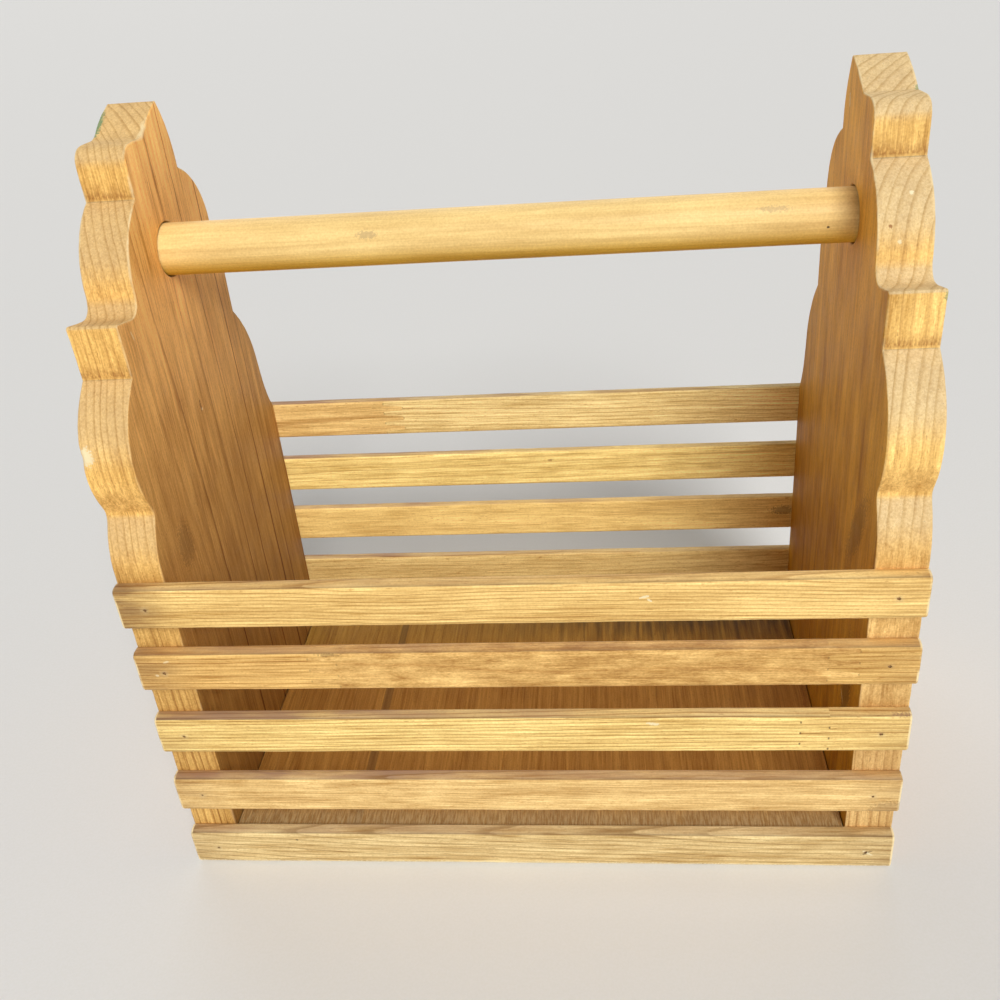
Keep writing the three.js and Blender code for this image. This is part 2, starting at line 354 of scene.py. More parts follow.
STEPS = {
    "broad": (0.6, 0.95), "outside": (133.0, 147.0), "underside": (-0.34, -0.1),
    "fuzz_from": (20.0, 110.0), "fuzz_to": (150.0, 178.0), "bold_lines": (80.0, 160.0),
    "fleck": (0.64, 0.74), "cut": (0.35, 0.85), "facing_up": (-0.05, 0.45), "end_speck": (0.66, 0.74),
    "torn": (0.36, 0.6), "dust": (0.3, 0.66), "dust_thins": (-120.0, 60.0), "slat_top": (0.58, 0.8),
    "face_height": (60.0, 330.0), "foot_top": (146.0, 164.0), "foot_height": (50.0, 150.0),
    "shaded": (-0.85, 0.1), "left_end": (-152.0, -122.0), "right_end": (124.0, 152.0),
    "smudge": (0.1, 0.85), "rubbed": (0.36, 0.62), "mark_rim": (0.55, 1.1),
    "finger": (0.3, 0.7), "glue_line": (0.15, 0.5), "finger_tip": (0.26, 0.36), "glue_top": (0.1, 0.4),
}
PINE = dict(
    grain="x", seed=1.0, pith=(0.0, 0.0, -60.0), ring=2.6, spring=0.2, uneven=1.2, sway=5.0,
    sway_length=110.0, tremble=0.8, lean=0.012, early=tint(246, 206, 128), late=tint(168, 104, 26),
    line=0.95, fibre=0.9, thread=0.7, streak=0.7, blotch=0.5, fleck=0.45, mottle=0.0, face_line=1.0,
    inner_painted_light=None, foot_painted_light=None, foot_fuzz=0.0, under_painted_shade=None, end_pale=tint(216, 188, 142),
    dusty_top=0.0, dirty_ends=None, rough=0.58, bump=0.2, marks=(),
)
Mark = namedtuple("Mark", "at long wide shade strength")


def step(wire, name):
    return wire.smooth(*STEPS[name])


def texture(place, look, name):
    return stretched(place, look, *TEXTURES[name])


def mesh_mark(place, name):
    """A mark that the mesh carries at its points."""
    return place.node("ShaderNodeAttribute", {"attribute_name": name}, None, "Fac")


def surface_normal(place):
    return place.node("ShaderNodeNewGeometry", None, None, "Normal")


def broad_face(place):
    """A mask for the wide faces of an end board."""
    return step(surface_normal(place).dot(ALONG).maths("ABSOLUTE"), "broad")


def inner_face(place):
    """A mask for the wide faces that look into the crate."""
    return broad_face(place) * (1.0 - step(place.dot(ALONG).maths("ABSOLUTE"), "outside"))


def rough_sawn(place, look):
    """A mask for the fuzzy parts of a board's edge: the undersides of its lobes, and some of the foot."""
    under = 1.0 - step(surface_normal(place).dot(UP), "underside")
    height = place.dot(UP)
    foot = step(height, "fuzz_from") * (1.0 - step(height, "fuzz_to")) * look["foot_fuzz"]
    return under.maths("MAXIMUM", foot) * (1.0 - broad_face(place))


def deepen(tone):
    """The factor for a change of tone: wood that darkens loses its blue first, then its green."""
    return (tone * DEEPEN + 1.0).vector("MAXIMUM", DEEPEST)


def grain_colour(place, look):
    """Clean wood before wear: (colour, growth lines, fibres)."""
    summer, strength = growth_lines(place, look)
    lines = summer * (0.5 + 0.5 * strength)
    tones = {name: texture(place, look, name) - 0.5 for name in ("fibre", "thread", "streak", "blotch")}
    if look["inner_painted_light"]:
        few = summer * (0.05 + strength * strength * strength) * look["face_line"]
        lines = (lines + (few - lines) * inner_face(place)) * (1.0 - rough_sawn(place, look) * 0.7)
        lines = lines * (1.8 - 0.8 * step(place.dot(UP), "bold_lines"))
        outer_face = broad_face(place) - inner_face(place)
        tones["blotch"] = tones["blotch"] * (1.0 - outer_face * 0.6)
    colour = (lines * look["line"]).mix(look["early"], look["late"])
    colour = colour * deepen(sum(tone * look[name] for name, tone in tones.items()))
    fleck = step(texture(place, look, "fleck"), "fleck") * look["fleck"]
    colour = fleck.mix(colour, look["late"])
    if look["mottle"]:
        grains = texture(place, look, "grains") - 0.5
        clouds = texture(place, look, "clouds") - 0.5
        colour = colour * deepen((grains + clouds * 1.3) * look["mottle"])
    return colour, lines, tones["fibre"]


def sawn_ends(place, look, normal, colour, lines, speck):
    """End grain: pale and greyish where a board's edge faces up, speckled where the saw left it fuzzy."""
    direction = [0.0, 0.0, 0.0]
    direction[GRAIN_AXES[look["grain"]]] = 1.0
    slope = normal.dot(tuple(direction))
    if look["grain"] != "z":
        cut = step(slope.maths("ABSOLUTE"), "cut")
        return (cut * 0.5).mix(colour, look["end_pale"]), cut
    edge = 1.0 - broad_face(place)
    up = step(slope, "facing_up") * edge
    rough = rough_sawn(place, look)
    torn = texture(place, look, "torn")
    patch = texture(place, look, "patch")
    colour = (up * 0.75).mix(colour, look["end_pale"] * deepen(lines * -0.29))
    colour = (rough * 0.35).mix(colour, END_BROWN)
    colour = (up * step(speck, "end_speck") * 0.35).mix(colour, OLD_DIRT)
    scorch = mesh_mark(place, "scorch") * (0.2 + step(torn, "torn") * 0.8)
    colour = (scorch * 0.75).mix(colour, SCORCHED)
    fuzz = (torn + patch - 1.0) * (0.18 + rough * 0.5) + (speck - 0.5) * 0.25
    return colour * deepen(edge * fuzz), up + rough


def top_dirt(place, look, normal):
    """Dust on a slat's rounded top: a grey band, uneven along the slat and thicker towards its left end."""
    uneven = step(texture(place, look, "dust"), "dust")
    thick = 1.25 - step(place.dot(ALONG), "dust_thins") * 0.6
    return step(normal.dot(UP), "slat_top") * (0.4 + uneven * 0.5) * thick * look["dusty_top"]


def end_smudges(place, look):
    """Dark smudges towards a slat's ends, drawn out along the grain."""
    left, right = look["dirty_ends"]
    along = place.dot(ALONG)
    ends = (1.0 - step(along, "left_end")) * left + step(along, "right_end") * right
    return (ends * step(texture(place, look, "smudge"), "smudge")).maths("MINIMUM", MOST_SMUDGE)


def tone_and_painted_light(place, look, normal, colour):
    """Outer faces' tone, and painted light on the inner faces, the edges behind the slats and the undersides.
    """
    height = place.dot(UP)
    if look["inner_painted_light"]:
        broad, inner = broad_face(place), inner_face(place)
        colour = (broad - inner).mix(colour, colour * OUTER_TINT)
        # Painted light: the inner faces darken towards the bottom and brighten near the top.
        colour = inner.mix(colour, colour * step(height, "face_height").mix(*look["inner_painted_light"]))
        # Painted light and shade on the board edges below the top slat, where the slats stand in front of
        # them.
        foot = (1.0 - step(height, "foot_top")) * (1.0 - broad)
        colour = foot.mix(colour, colour * step(height, "foot_height").mix(*look["foot_painted_light"]))
    # Painted shade: surfaces facing down are made darker and warmer.
    if look["under_painted_shade"]:
        under = 1.0 - step(normal.dot(UP), "shaded")
        colour = under.mix(colour, colour * look["under_painted_shade"])
    return colour


def spot(place, speck, colour, mark):
    """One mark at a named place: a scar, a smudge or a trace of paint. Its long and wide are half axes."""
    deep = Vector(mark.long).cross(Vector(mark.wide)).normalized() * MARK_DEPTH
    from_middle = place - mark.at
    reach = [Vector(axis) / Vector(axis).length_squared for axis in (mark.long, mark.wide, deep)]
    parts = {k: from_middle.dot(tuple(axis)) for k, axis in enumerate(reach)}
    away = place.node("ShaderNodeCombineXYZ", None, parts).length() + (speck - 0.5) * MARK_RAGGED
    return ((1.0 - step(away, "mark_rim")) * mark.strength).mix(colour, mark.shade)


def wear_dirt_and_painted_light(place, look, colour, lines, fibre):
    """Ends, wear, dirt and painted light and shade over clean wood: (colour, roughness, height)."""
    normal = surface_normal(place)
    speck = place.noise(1.2)
    cloud = place.noise(0.12, 4.0)
    colour, cut = sawn_ends(place, look, normal, colour, lines, speck)
    colour = colour * deepen((speck - 0.5) * 0.3)
    colour = tone_and_painted_light(place, look, normal, colour)
    grained = deepen(lines * -0.4)
    if look["dusty_top"]:
        colour = top_dirt(place, look, normal).mix(colour, TOP_DUST * grained)
    if look["dirty_ends"]:
        colour = end_smudges(place, look).mix(colour, SMUDGE * grained)
    # Dirt and painted shade: hollows, holes and brad wells darken, and a dirt line runs along the slats'
    # noses.
    grime_and_shade = (mesh_mark(place, "grime_and_shade") * (0.4 + cloud)).maths("MINIMUM", MOST_GRIME_AND_SHADE)
    colour = grime_and_shade.mix(colour, colour * 0.42 + OLD_DIRT * (cloud * 0.5 + 0.15))
    # Arrises and the slats' rounded ends are rubbed pale, which also paints their highlight.
    worn_and_highlight = mesh_mark(place, "worn_and_highlight") * step(cloud, "rubbed")
    colour = (worn_and_highlight * 0.85).mix(colour, RAW_WOOD)
    for mark in look["marks"]:
        colour = spot(place, speck, colour, mark)
    roughness = look["rough"] + (cloud - 0.5) * 0.25 + cut * 0.2 + worn_and_highlight * 0.2 + grime_and_shade * 0.2
    height = fibre * 0.7 + lines * 0.3 + (speck - 0.5) * (0.15 + cut * 0.6)
    return colour, roughness, height


def pine_material(name, woods, joints=()):
    """Pine for one piece. Where it has several woods, each joint has the next one on its right."""
    material, place = new_material(name)
    look = woods[0]
    colour, lines, fibre = grain_colour(place, look)
    for wood, joint in zip(woods[1:], joints):
        next_colour, next_lines, next_fibre = grain_colour(place, wood)
        right, tips = finger_joint(place, **joint)
        colour = tips.mix(right.mix(colour, next_colour), OLD_DIRT)
        lines = lines + (next_lines - lines) * right
        fibre = fibre + (next_fibre - fibre) * right
    colour, roughness, height = wear_dirt_and_painted_light(place, look, colour, lines, fibre)
    finish_material(place, colour, roughness, height, look["bump"], {"Specular IOR Level": 0.25})
    return material


def finger_joint(place, near, far, foot, glue, soft=0.15, pitch=5.6):
    """Two sticks glued end to end: masks for the right-hand stick and for dark glue at the blunt tips."""
    along = place.dot(ALONG)
    height = place.dot(UP) - foot
    wave = ((height / pitch).maths("FRACT") * 2.0 - 1.0).maths("ABSOLUTE")
    edge = near + step(wave, "finger") * (far - near)
    right = (along - edge).smooth(-soft, soft)
    at_tip = 1.0 - step((along - edge).maths("ABSOLUTE"), "glue_line")
    blunt = step((wave - 0.5).maths("ABSOLUTE"), "finger_tip")
    on_face = 1.0 - step(surface_normal(place).dot(UP), "glue_top")
    return right, at_tip * blunt * on_face * glue


print("pine has", len(PINE), "settings")

# %% [markdown]
# ## Gathering a piece's skin
# Blender's modifiers could round a box, but wear is uneven: each arris here has its own width from place to
# place, and nails sit in dents. So the pieces are skinned in code: rings of points, joined by quads, with
# the marks for wear and painted highlight, for grime and painted shade, and for scorching set as each ring is
# laid. Inside a flat face, a constrained triangulation joins the rim, the holes and a loose net of points.

# %% Skin of rings
Outline = namedtuple("Outline", "points normals along hollow room")
SEED_STRIDE = 13.7


class Skin:
    """Points, faces and marks of one piece, in millimetres."""

    def __init__(self):
        self.points = []
        self.faces = []
        self.marks = {"worn_and_highlight": [], "grime_and_shade": [], "scorch": []}

    def ring(self, points, worn_and_highlight=0.0, grime_and_shade=0.0, scorch=0.0):
        """Adds points and returns their numbers. A mark is one value, or one for each point."""
        first = len(self.points)
        self.points.extend(tuple(point) for point in points)
        count = len(self.points) - first
        for name, values in (("worn_and_highlight", worn_and_highlight), ("grime_and_shade", grime_and_shade), ("scorch", scorch)):
            self.marks[name].extend(np.broadcast_to(values, count))
        return list(range(first, first + count))

    def bridge(self, rings, opened=()):
        """Quads along a row of closed rings. The ones named in opened, as (ring, point), are left out."""
        for i, (one, two) in enumerate(zip(rings, rings[1:])):
            for j in range(len(one)):
                k = (j + 1) % len(one)
                if (i, j) not in opened:
                    self.faces.append((one[j], one[k], two[k], two[j]))

    def cap(self, ring):
        self.faces.append(tuple(ring))

    def bar(self, rings, opened=()):
        """A row of rings that is closed at both ends."""
        self.bridge(rings, opened)
        self.cap(rings[0])
        self.cap(rings[-1])

    def piece(self, node, word, slot, material):
        """Makes the object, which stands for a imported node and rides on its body."""
        mesh = bpy.data.meshes.new(f"{node}_{word}")
        mesh.from_pydata([Vector(point) * MM for point in self.points], [], self.faces)
        for name, values in self.marks.items():
            mark = mesh.attributes.new(name, "FLOAT", "POINT")
            mark.data.foreach_set("value", np.asarray(values, np.float32))
        shell = bmesh.new()
        shell.from_mesh(mesh)
        bmesh.ops.recalc_face_normals(shell, faces=shell.faces)
        shell.to_mesh(mesh)
        shell.free()
        mesh.shade_smooth()
        mesh.materials.append(material)
        made = add_object(f"{node}_{word}", mesh)
        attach(made, "root")
        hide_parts(node)
        return made


def wavy(value, length, seed, lane=0.0):
    """Smooth seeded noise from about -1 to 1 that changes over length millimetres."""
    return noise.noise(Vector((value / length, seed * SEED_STRIDE, lane)))


def full_turn(count):
    """Angles of evenly spaced points around a circle."""
    return np.linspace(0.0, 2 * math.pi, count, endpoint=False)


def box_mm(node):
    """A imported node's lowest and highest corner in millimetres."""
    low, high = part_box(node)
    return low / MM, high / MM


print("wavy at a few places:", [round(wavy(place, 9.0, 1), 2) for place in (3, 8, 14)])

# %% [markdown]
# ## Outlines with worn corners
# The scallops of an end board were cut with a bandsaw, and every corner has since lost its sharpness.
# The imported board's own outline is the pattern. Its corners get small arcs, its curves are smoothed, and
# each point notes how hollow the edge is there, because dirt gathers in hollows and they get painted shade.

# %% Outline tools
ON_FACE = 0.01
SAME_POINT = 1e-6
FLAT = 0.9
CORNER_TURN = math.radians(20)
ARC_TURN = math.radians(24)
ARC_SHARE = 0.45
HOLLOW_FROM = 0.45
HOLLOW_OVER = 0.5
ROOM_SHARE = 0.75
LEAST_TURN = 0.01
OUTER_CORNER = 1.0
INNER_CORNER = 0.5
SOFT_CORNERS = {"left": {"at": (-0.9, 302.0), "within": 3.0, "radius": 14.0}}
OUTLINE_STEP = 1.1
SMOOTHING_ROUNDS = 10
TIGHT_HOLLOW = 0.2
SCORCH_REACH = 4.2
SCORCH_TOP = 295.0
SCORCH_GAP = 0.2


def face_loop(node, face_x):
    """The longest loop of edges around a board's flat face, as (depth, height) points in millimetres."""
    shell = bmesh.new()
    shell.from_mesh(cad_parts[node].data)
    bmesh.ops.remove_doubles(shell, verts=shell.verts, dist=SAME_POINT)
    following = {}
    for edge in shell.edges:
        on_face = all(abs(vert.co.x / MM - face_x) < ON_FACE for vert in edge.verts)
        flat = [face for face in edge.link_faces if abs(face.normal.x) > FLAT]
        if on_face and len(flat) == 1:
            for one, two in (edge.verts, reversed(edge.verts)):
                following.setdefault(one.index, []).append(two.index)
    places = {vert.index: (vert.co.y / MM, vert.co.z / MM) for vert in shell.verts}
    shell.free()
    loops = []
    left = set(following)
    while left:
        start = left.pop()
        loop = [start]
        while True:
            ahead = [number for number in following[loop[-1]] if number in left]
            if not ahead:
                break
            left.discard(ahead[0])
            loop.append(ahead[0])
        loops.append(loop)
    longest = np.array([places[number] for number in max(loops, key=len)])
    return longest if signed_area(longest) > 0 else longest[::-1]


def signed_area(loop):
    ahead = np.roll(loop, -1, 0)
    return 0.5 * np.sum(loop[:, 0] * ahead[:, 1] - loop[:, 1] * ahead[:, 0])


def turns_of(loop):
    """How far the outline turns at each point: positive on outer corners, negative in hollows."""
    back = loop - np.roll(loop, 1, 0)
    ahead = np.roll(loop, -1, 0) - loop
    cross = back[:, 0] * ahead[:, 1] - back[:, 1] * ahead[:, 0]
    return np.arctan2(cross, np.sum(back * ahead, 1))


def corner_radius(corner, turn, soft):
    """How round a corner is: a hollow cut by hand can be softer than the rest."""
    if soft and np.linalg.norm(corner - soft["at"]) < soft["within"]:
        return soft["radius"]
    return OUTER_CORNER if turn > 0 else INNER_CORNER


def corner_arc(before, corner, after, turn, radius):
    """A small arc in place of a corner."""
    slope = math.tan(abs(turn) / 2)
    incoming = (corner - before) / np.linalg.norm(corner - before)
    shortest = min(np.linalg.norm(corner - before), np.linalg.norm(after - corner))
    reach = min(radius * slope, ARC_SHARE * shortest)
    start = corner - incoming * reach
    centre = start + np.array([-incoming[1], incoming[0]]) * math.copysign(reach / slope, turn)
    count = max(2, math.ceil(abs(turn) / ARC_TURN), round(2 * reach / OUTLINE_STEP))
    spoke = start - centre
    arc = []
    for angle in np.linspace(0.0, turn, count + 1):
        turned = (spoke[0] * math.cos(angle) - spoke[1] * math.sin(angle),
                  spoke[0] * math.sin(angle) + spoke[1] * math.cos(angle))
        arc.append(centre + np.array(turned))
    return arc


def worn_outline(loop, soft=None):
    """An outline with even steps, arcs for corners and smooth curves between them."""
    turns = turns_of(loop)
    pattern, fixed = [], []
    for i, turn in enumerate(turns):
        sharp = abs(turn) > CORNER_TURN
        arc = [loop[i]]
        if sharp:
            radius = corner_radius(loop[i], turn, soft)
            arc = corner_arc(loop[i - 1], loop[i], loop[(i + 1) % len(loop)], turn, radius)
        pattern.extend(arc)
        fixed.extend([sharp] * len(arc))
    points, corner = [], []
    for i, start in enumerate(pattern):
        end = pattern[(i + 1) % len(pattern)]
        count = max(1, round(np.linalg.norm(end - start) / OUTLINE_STEP))
        points.extend(start + (end - start) * k / count for k in range(count))
        corner.extend([fixed[i]] + [False] * (count - 1))
    points, corner = np.array(points), np.array(corner)
    for _ in range(SMOOTHING_ROUNDS):
        middle = (np.roll(points, 1, 0) + np.roll(points, -1, 0)) / 2
        points = np.where(corner[:, None], points, (points + middle) / 2)
    return measure_outline(points)


def measure_outline(points):
    """Notes at each point: its normal, its place along the outline, hollowness, and room to go inwards."""
    tangent = np.roll(points, -1, 0) - np.roll(points, 1, 0)
    tangent /= np.linalg.norm(tangent, axis=1)[:, None]
    normals = np.column_stack([tangent[:, 1], -tangent[:, 0]])
    steps = np.linalg.norm(np.roll(points, -1, 0) - points, axis=1)
    along = np.concatenate([[0.0], np.cumsum(steps)[:-1]])
    turns = turns_of(points)
    turning = sum(np.roll(turns, shift) for shift in range(-1, 2))
    hollow = np.clip((-turning - HOLLOW_FROM) / HOLLOW_OVER, 0.0, 1.0)
    hollow = (np.roll(hollow, 1) + 2 * hollow + np.roll(hollow, -1)) / 4
    bend = (steps + np.roll(steps, 1)) / 2 / np.maximum(turns, LEAST_TURN)
    room = ROOM_SHARE * np.min([np.roll(bend, shift) for shift in range(-3, 4)], axis=0)
    return Outline(points, normals, along, hollow, room)


def scorch_band(outline):
    """Brown bands that the saw burnt just above each tight hollow of an outline."""
    band = np.zeros(len(outline.points))
    heights = outline.points[:, 1]
    for i in np.flatnonzero(outline.hollow > TIGHT_HOLLOW):
        upper = max((i - 1, (i + 1) % len(heights)), key=lambda k: heights[k])
        if outline.hollow[upper] <= TIGHT_HOLLOW and heights[i] < SCORCH_TOP:
            away = np.linalg.norm(outline.points - outline.points[i], axis=1)
            above = heights > heights[i] + SCORCH_GAP
            band = np.maximum(band, np.where(above, np.exp(-((away / SCORCH_REACH) ** 2)), 0.0))
    return band


board_faces = {"left": box_mm("end_board_left")[0].x, "right": box_mm("end_board_right")[1].x}
board_outlines = {}
for word, face_x in board_faces.items():
    board_outlines[word] = worn_outline(face_loop(f"end_board_{word}", face_x), SOFT_CORNERS.get(word))
print({word: len(outline.points) for word, outline in board_outlines.items()}, "points around each board")

# %% [markdown]
# ## Plates: boards and the bottom
# A board or a sheet of plywood is an outline carried through a thickness. From one face to the other its
# skin runs: face, rounded arris, sawn edge, rounded arris, face. The arrises are as wide as their wear,
# the sawn edge keeps faint saw marks, and the two faces are filled around sockets and nail holes.

# %% Plate builder
Hole = namedtuple("Hole", "centre steps count")
ARRIS_STEPS = 4
EDGE_RINGS = 9
EDGE_INSET = 0.4
SAW_MARK = 0.09
FACE_SUPPORT = 0.25
FACE_NET = 7.0
NET_CLEAR = 0.45 * FACE_NET
FILL_INSIDE = 1
FILL_MERGE = 1e-5
ARRIS_RANGE = (0.15, 2.6)


def ring_on_plan(outline, inset):
    """The outline drawn in, but never so far that a corner would fold over."""
    return outline.points - outline.normals * np.minimum(inset, outline.room)[:, None]


def plate(outline, thickness, lay, near, far, wear_and_highlight, seed, near_holes=(), far_holes=()):
    """Skins a plate. near and far are the arris widths at each outline point on the two faces, and
    wear_and_highlight says how pale the arrises are: rubbed by wear, and a painted highlight."""
    scorch = scorch_band(outline)
    skin = Skin()
    rings, plans = [], []

    def add_ring(inset, depth, worn_and_highlight=0.0, grime_and_shade=0.0, burnt=0.0):
        plan = ring_on_plan(outline, inset)
        depths = np.broadcast_to(depth, len(plan))
        rings.append(skin.ring([lay(u, v, d) for (u, v), d in zip(plan, depths)], worn_and_highlight, grime_and_shade, burnt))
        plans.append(plan)

    def add_arris(widths, angles, depth_at):
        for angle in angles:
            depth = depth_at(widths * (1 - math.cos(angle)))
            worn_and_highlight = wear_and_highlight * (0.6 + 0.4 * math.sin(2 * angle))
            add_ring(widths * (1 - math.sin(angle)), depth, worn_and_highlight, outline.hollow * 0.5, scorch)

    # The outline's hollows carry dirt and painted shade on the arrises and the edge; the arrises are rubbed
    # pale with a painted highlight.
    arc = np.linspace(0.0, math.pi / 2, ARRIS_STEPS + 1)
    add_ring(near + FACE_SUPPORT, 0.0)
    add_arris(near, arc, lambda sunk: sunk)
    first, last = near + EDGE_INSET, thickness - far - EDGE_INSET
    for share in np.linspace(0.0, 1.0, EDGE_RINGS):
        marks = [wavy(s, 1.5, seed, share * 1.2) + wavy(s, 9.0, seed, 4 + share) for s in outline.along]
        cut = SAW_MARK * np.clip(0.5 + 0.5 * np.array(marks), 0.0, 1.2)
        add_ring(cut, first + (last - first) * share, 0.0, outline.hollow, scorch)
    add_arris(far, arc[::-1], lambda sunk: thickness - sunk)
    add_ring(far + FACE_SUPPORT, thickness)
    skin.bridge(rings)
    fill_face(skin, rings[0], plans[0], near_holes, lay)
    fill_face(skin, rings[-1], plans[-1], far_holes, lambda u, v, d: lay(u, v, thickness - d))
    return skin


def inside(points, loop):
    """Which points lie inside a closed outline."""
    x, y = points[:, 0][:, None], points[:, 1][:, None]
    x0, y0 = loop[:, 0], loop[:, 1]
    x1, y1 = np.roll(x0, -1), np.roll(y0, -1)
    crosses = (y0 > y) != (y1 > y)
    with np.errstate(divide="ignore", invalid="ignore"):
        meets = x0 + (y - y0) * (x1 - x0) / (y1 - y0)
    return np.sum(crosses & (x < meets), 1) % 2 == 1


def in_hole(points, hole):
    """Which points lie in a hole's mouth."""
    return np.linalg.norm(points - np.array(hole.centre), axis=-1) < hole.steps[0][0]


def fill_face(skin, rim, plan, holes, lay):
    """Triangles between a face's rim and its holes, and the holes' own walls and floors."""
    numbers = list(rim)
    places = [tuple(point) for point in plan]
    edges = [(i, (i + 1) % len(rim)) for i in range(len(rim))]
    for hole in holes:
        turn = full_turn(hole.count)
        circle = np.column_stack([np.cos(turn), np.sin(turn)])
        rings = []
        for radius, depth, worn_and_highlight, grime_and_shade in hole.steps:
            points = np.array(hole.centre) + circle * radius
            rings.append(skin.ring([lay(u, v, depth) for u, v in points], worn_and_highlight, grime_and_shade))
        skin.bridge(rings)
        skin.cap(rings[-1])
        first = len(places)
        places.extend(tuple(point) for point in np.array(hole.centre) + circle * hole.steps[0][0])
        numbers.extend(rings[0])
        edges.extend((first + i, first + (i + 1) % hole.count) for i in range(hole.count))
    across = np.arange(plan[:, 0].min(), plan[:, 0].max(), FACE_NET)
    up = np.arange(plan[:, 1].min(), plan[:, 1].max(), FACE_NET)
    grid = np.array([(u + (j % 2) * FACE_NET / 2, v) for u in across for j, v in enumerate(up)])
    grid = grid[inside(grid, plan)]
    gaps = np.linalg.norm(grid[:, None] - np.array(places)[None], axis=2).min(1)
    for hole in holes:
        gaps = np.where(in_hole(grid, hole), 0.0, gaps)
    grid = grid[gaps > NET_CLEAR]
    numbers.extend(skin.ring([lay(u, v, 0.0) for u, v in grid]))
    places.extend(tuple(point) for point in grid)
    flat = [Vector(point) for point in places]
    _, _, faces, origins, _, _ = geometry.delaunay_2d_cdt(flat, edges, [], FILL_INSIDE, FILL_MERGE)
    for face in faces:
        corners = [origins[corner][0] for corner in face]
        middle = np.mean([places[corner] for corner in corners], 0)
        if not any(in_hole(middle, hole) for hole in holes):
            skin.faces.append(tuple(numbers[corner] for corner in corners))


def arris_widths(outline, usual, spread, seed, chips=()):
    """How far an arris is worn back at each point of an outline, with chips at given places."""
    along = outline.along
    slow = np.array([wavy(s, 17.0, seed) for s in along])
    quick = np.array([wavy(s, 3.1, seed + 5) for s in along])
    widths = usual + spread * np.clip(slow + 0.6 * quick, -0.8, 1.4)
    for centre, reach, size in chips:
        away = np.linalg.norm(outline.points - centre, axis=1)
        widths += size * np.exp(-((away / reach) ** 2))
    return np.clip(np.minimum(widths, outline.room - FACE_SUPPORT), *ARRIS_RANGE)


print("a plate's edge has", EDGE_RINGS + 2 * (ARRIS_STEPS + 1), "rings")

# %% [markdown]
# ## The end boards
# Each board is one plank of flat-sawn pine with the grain standing upright. The heart of the tree lay
# beyond the front of the plank, so the growth lines are wide apart near the front and close at the back.
# The blind socket for the handle is cut in the inner face, and four nails sit sunk in the outer one.

# %% End boards
OLD_PAINT = tint(112, 146, 104)
FRESH_WOOD = tint(250, 236, 194)
DARK_STAIN = tint(134, 80, 38)
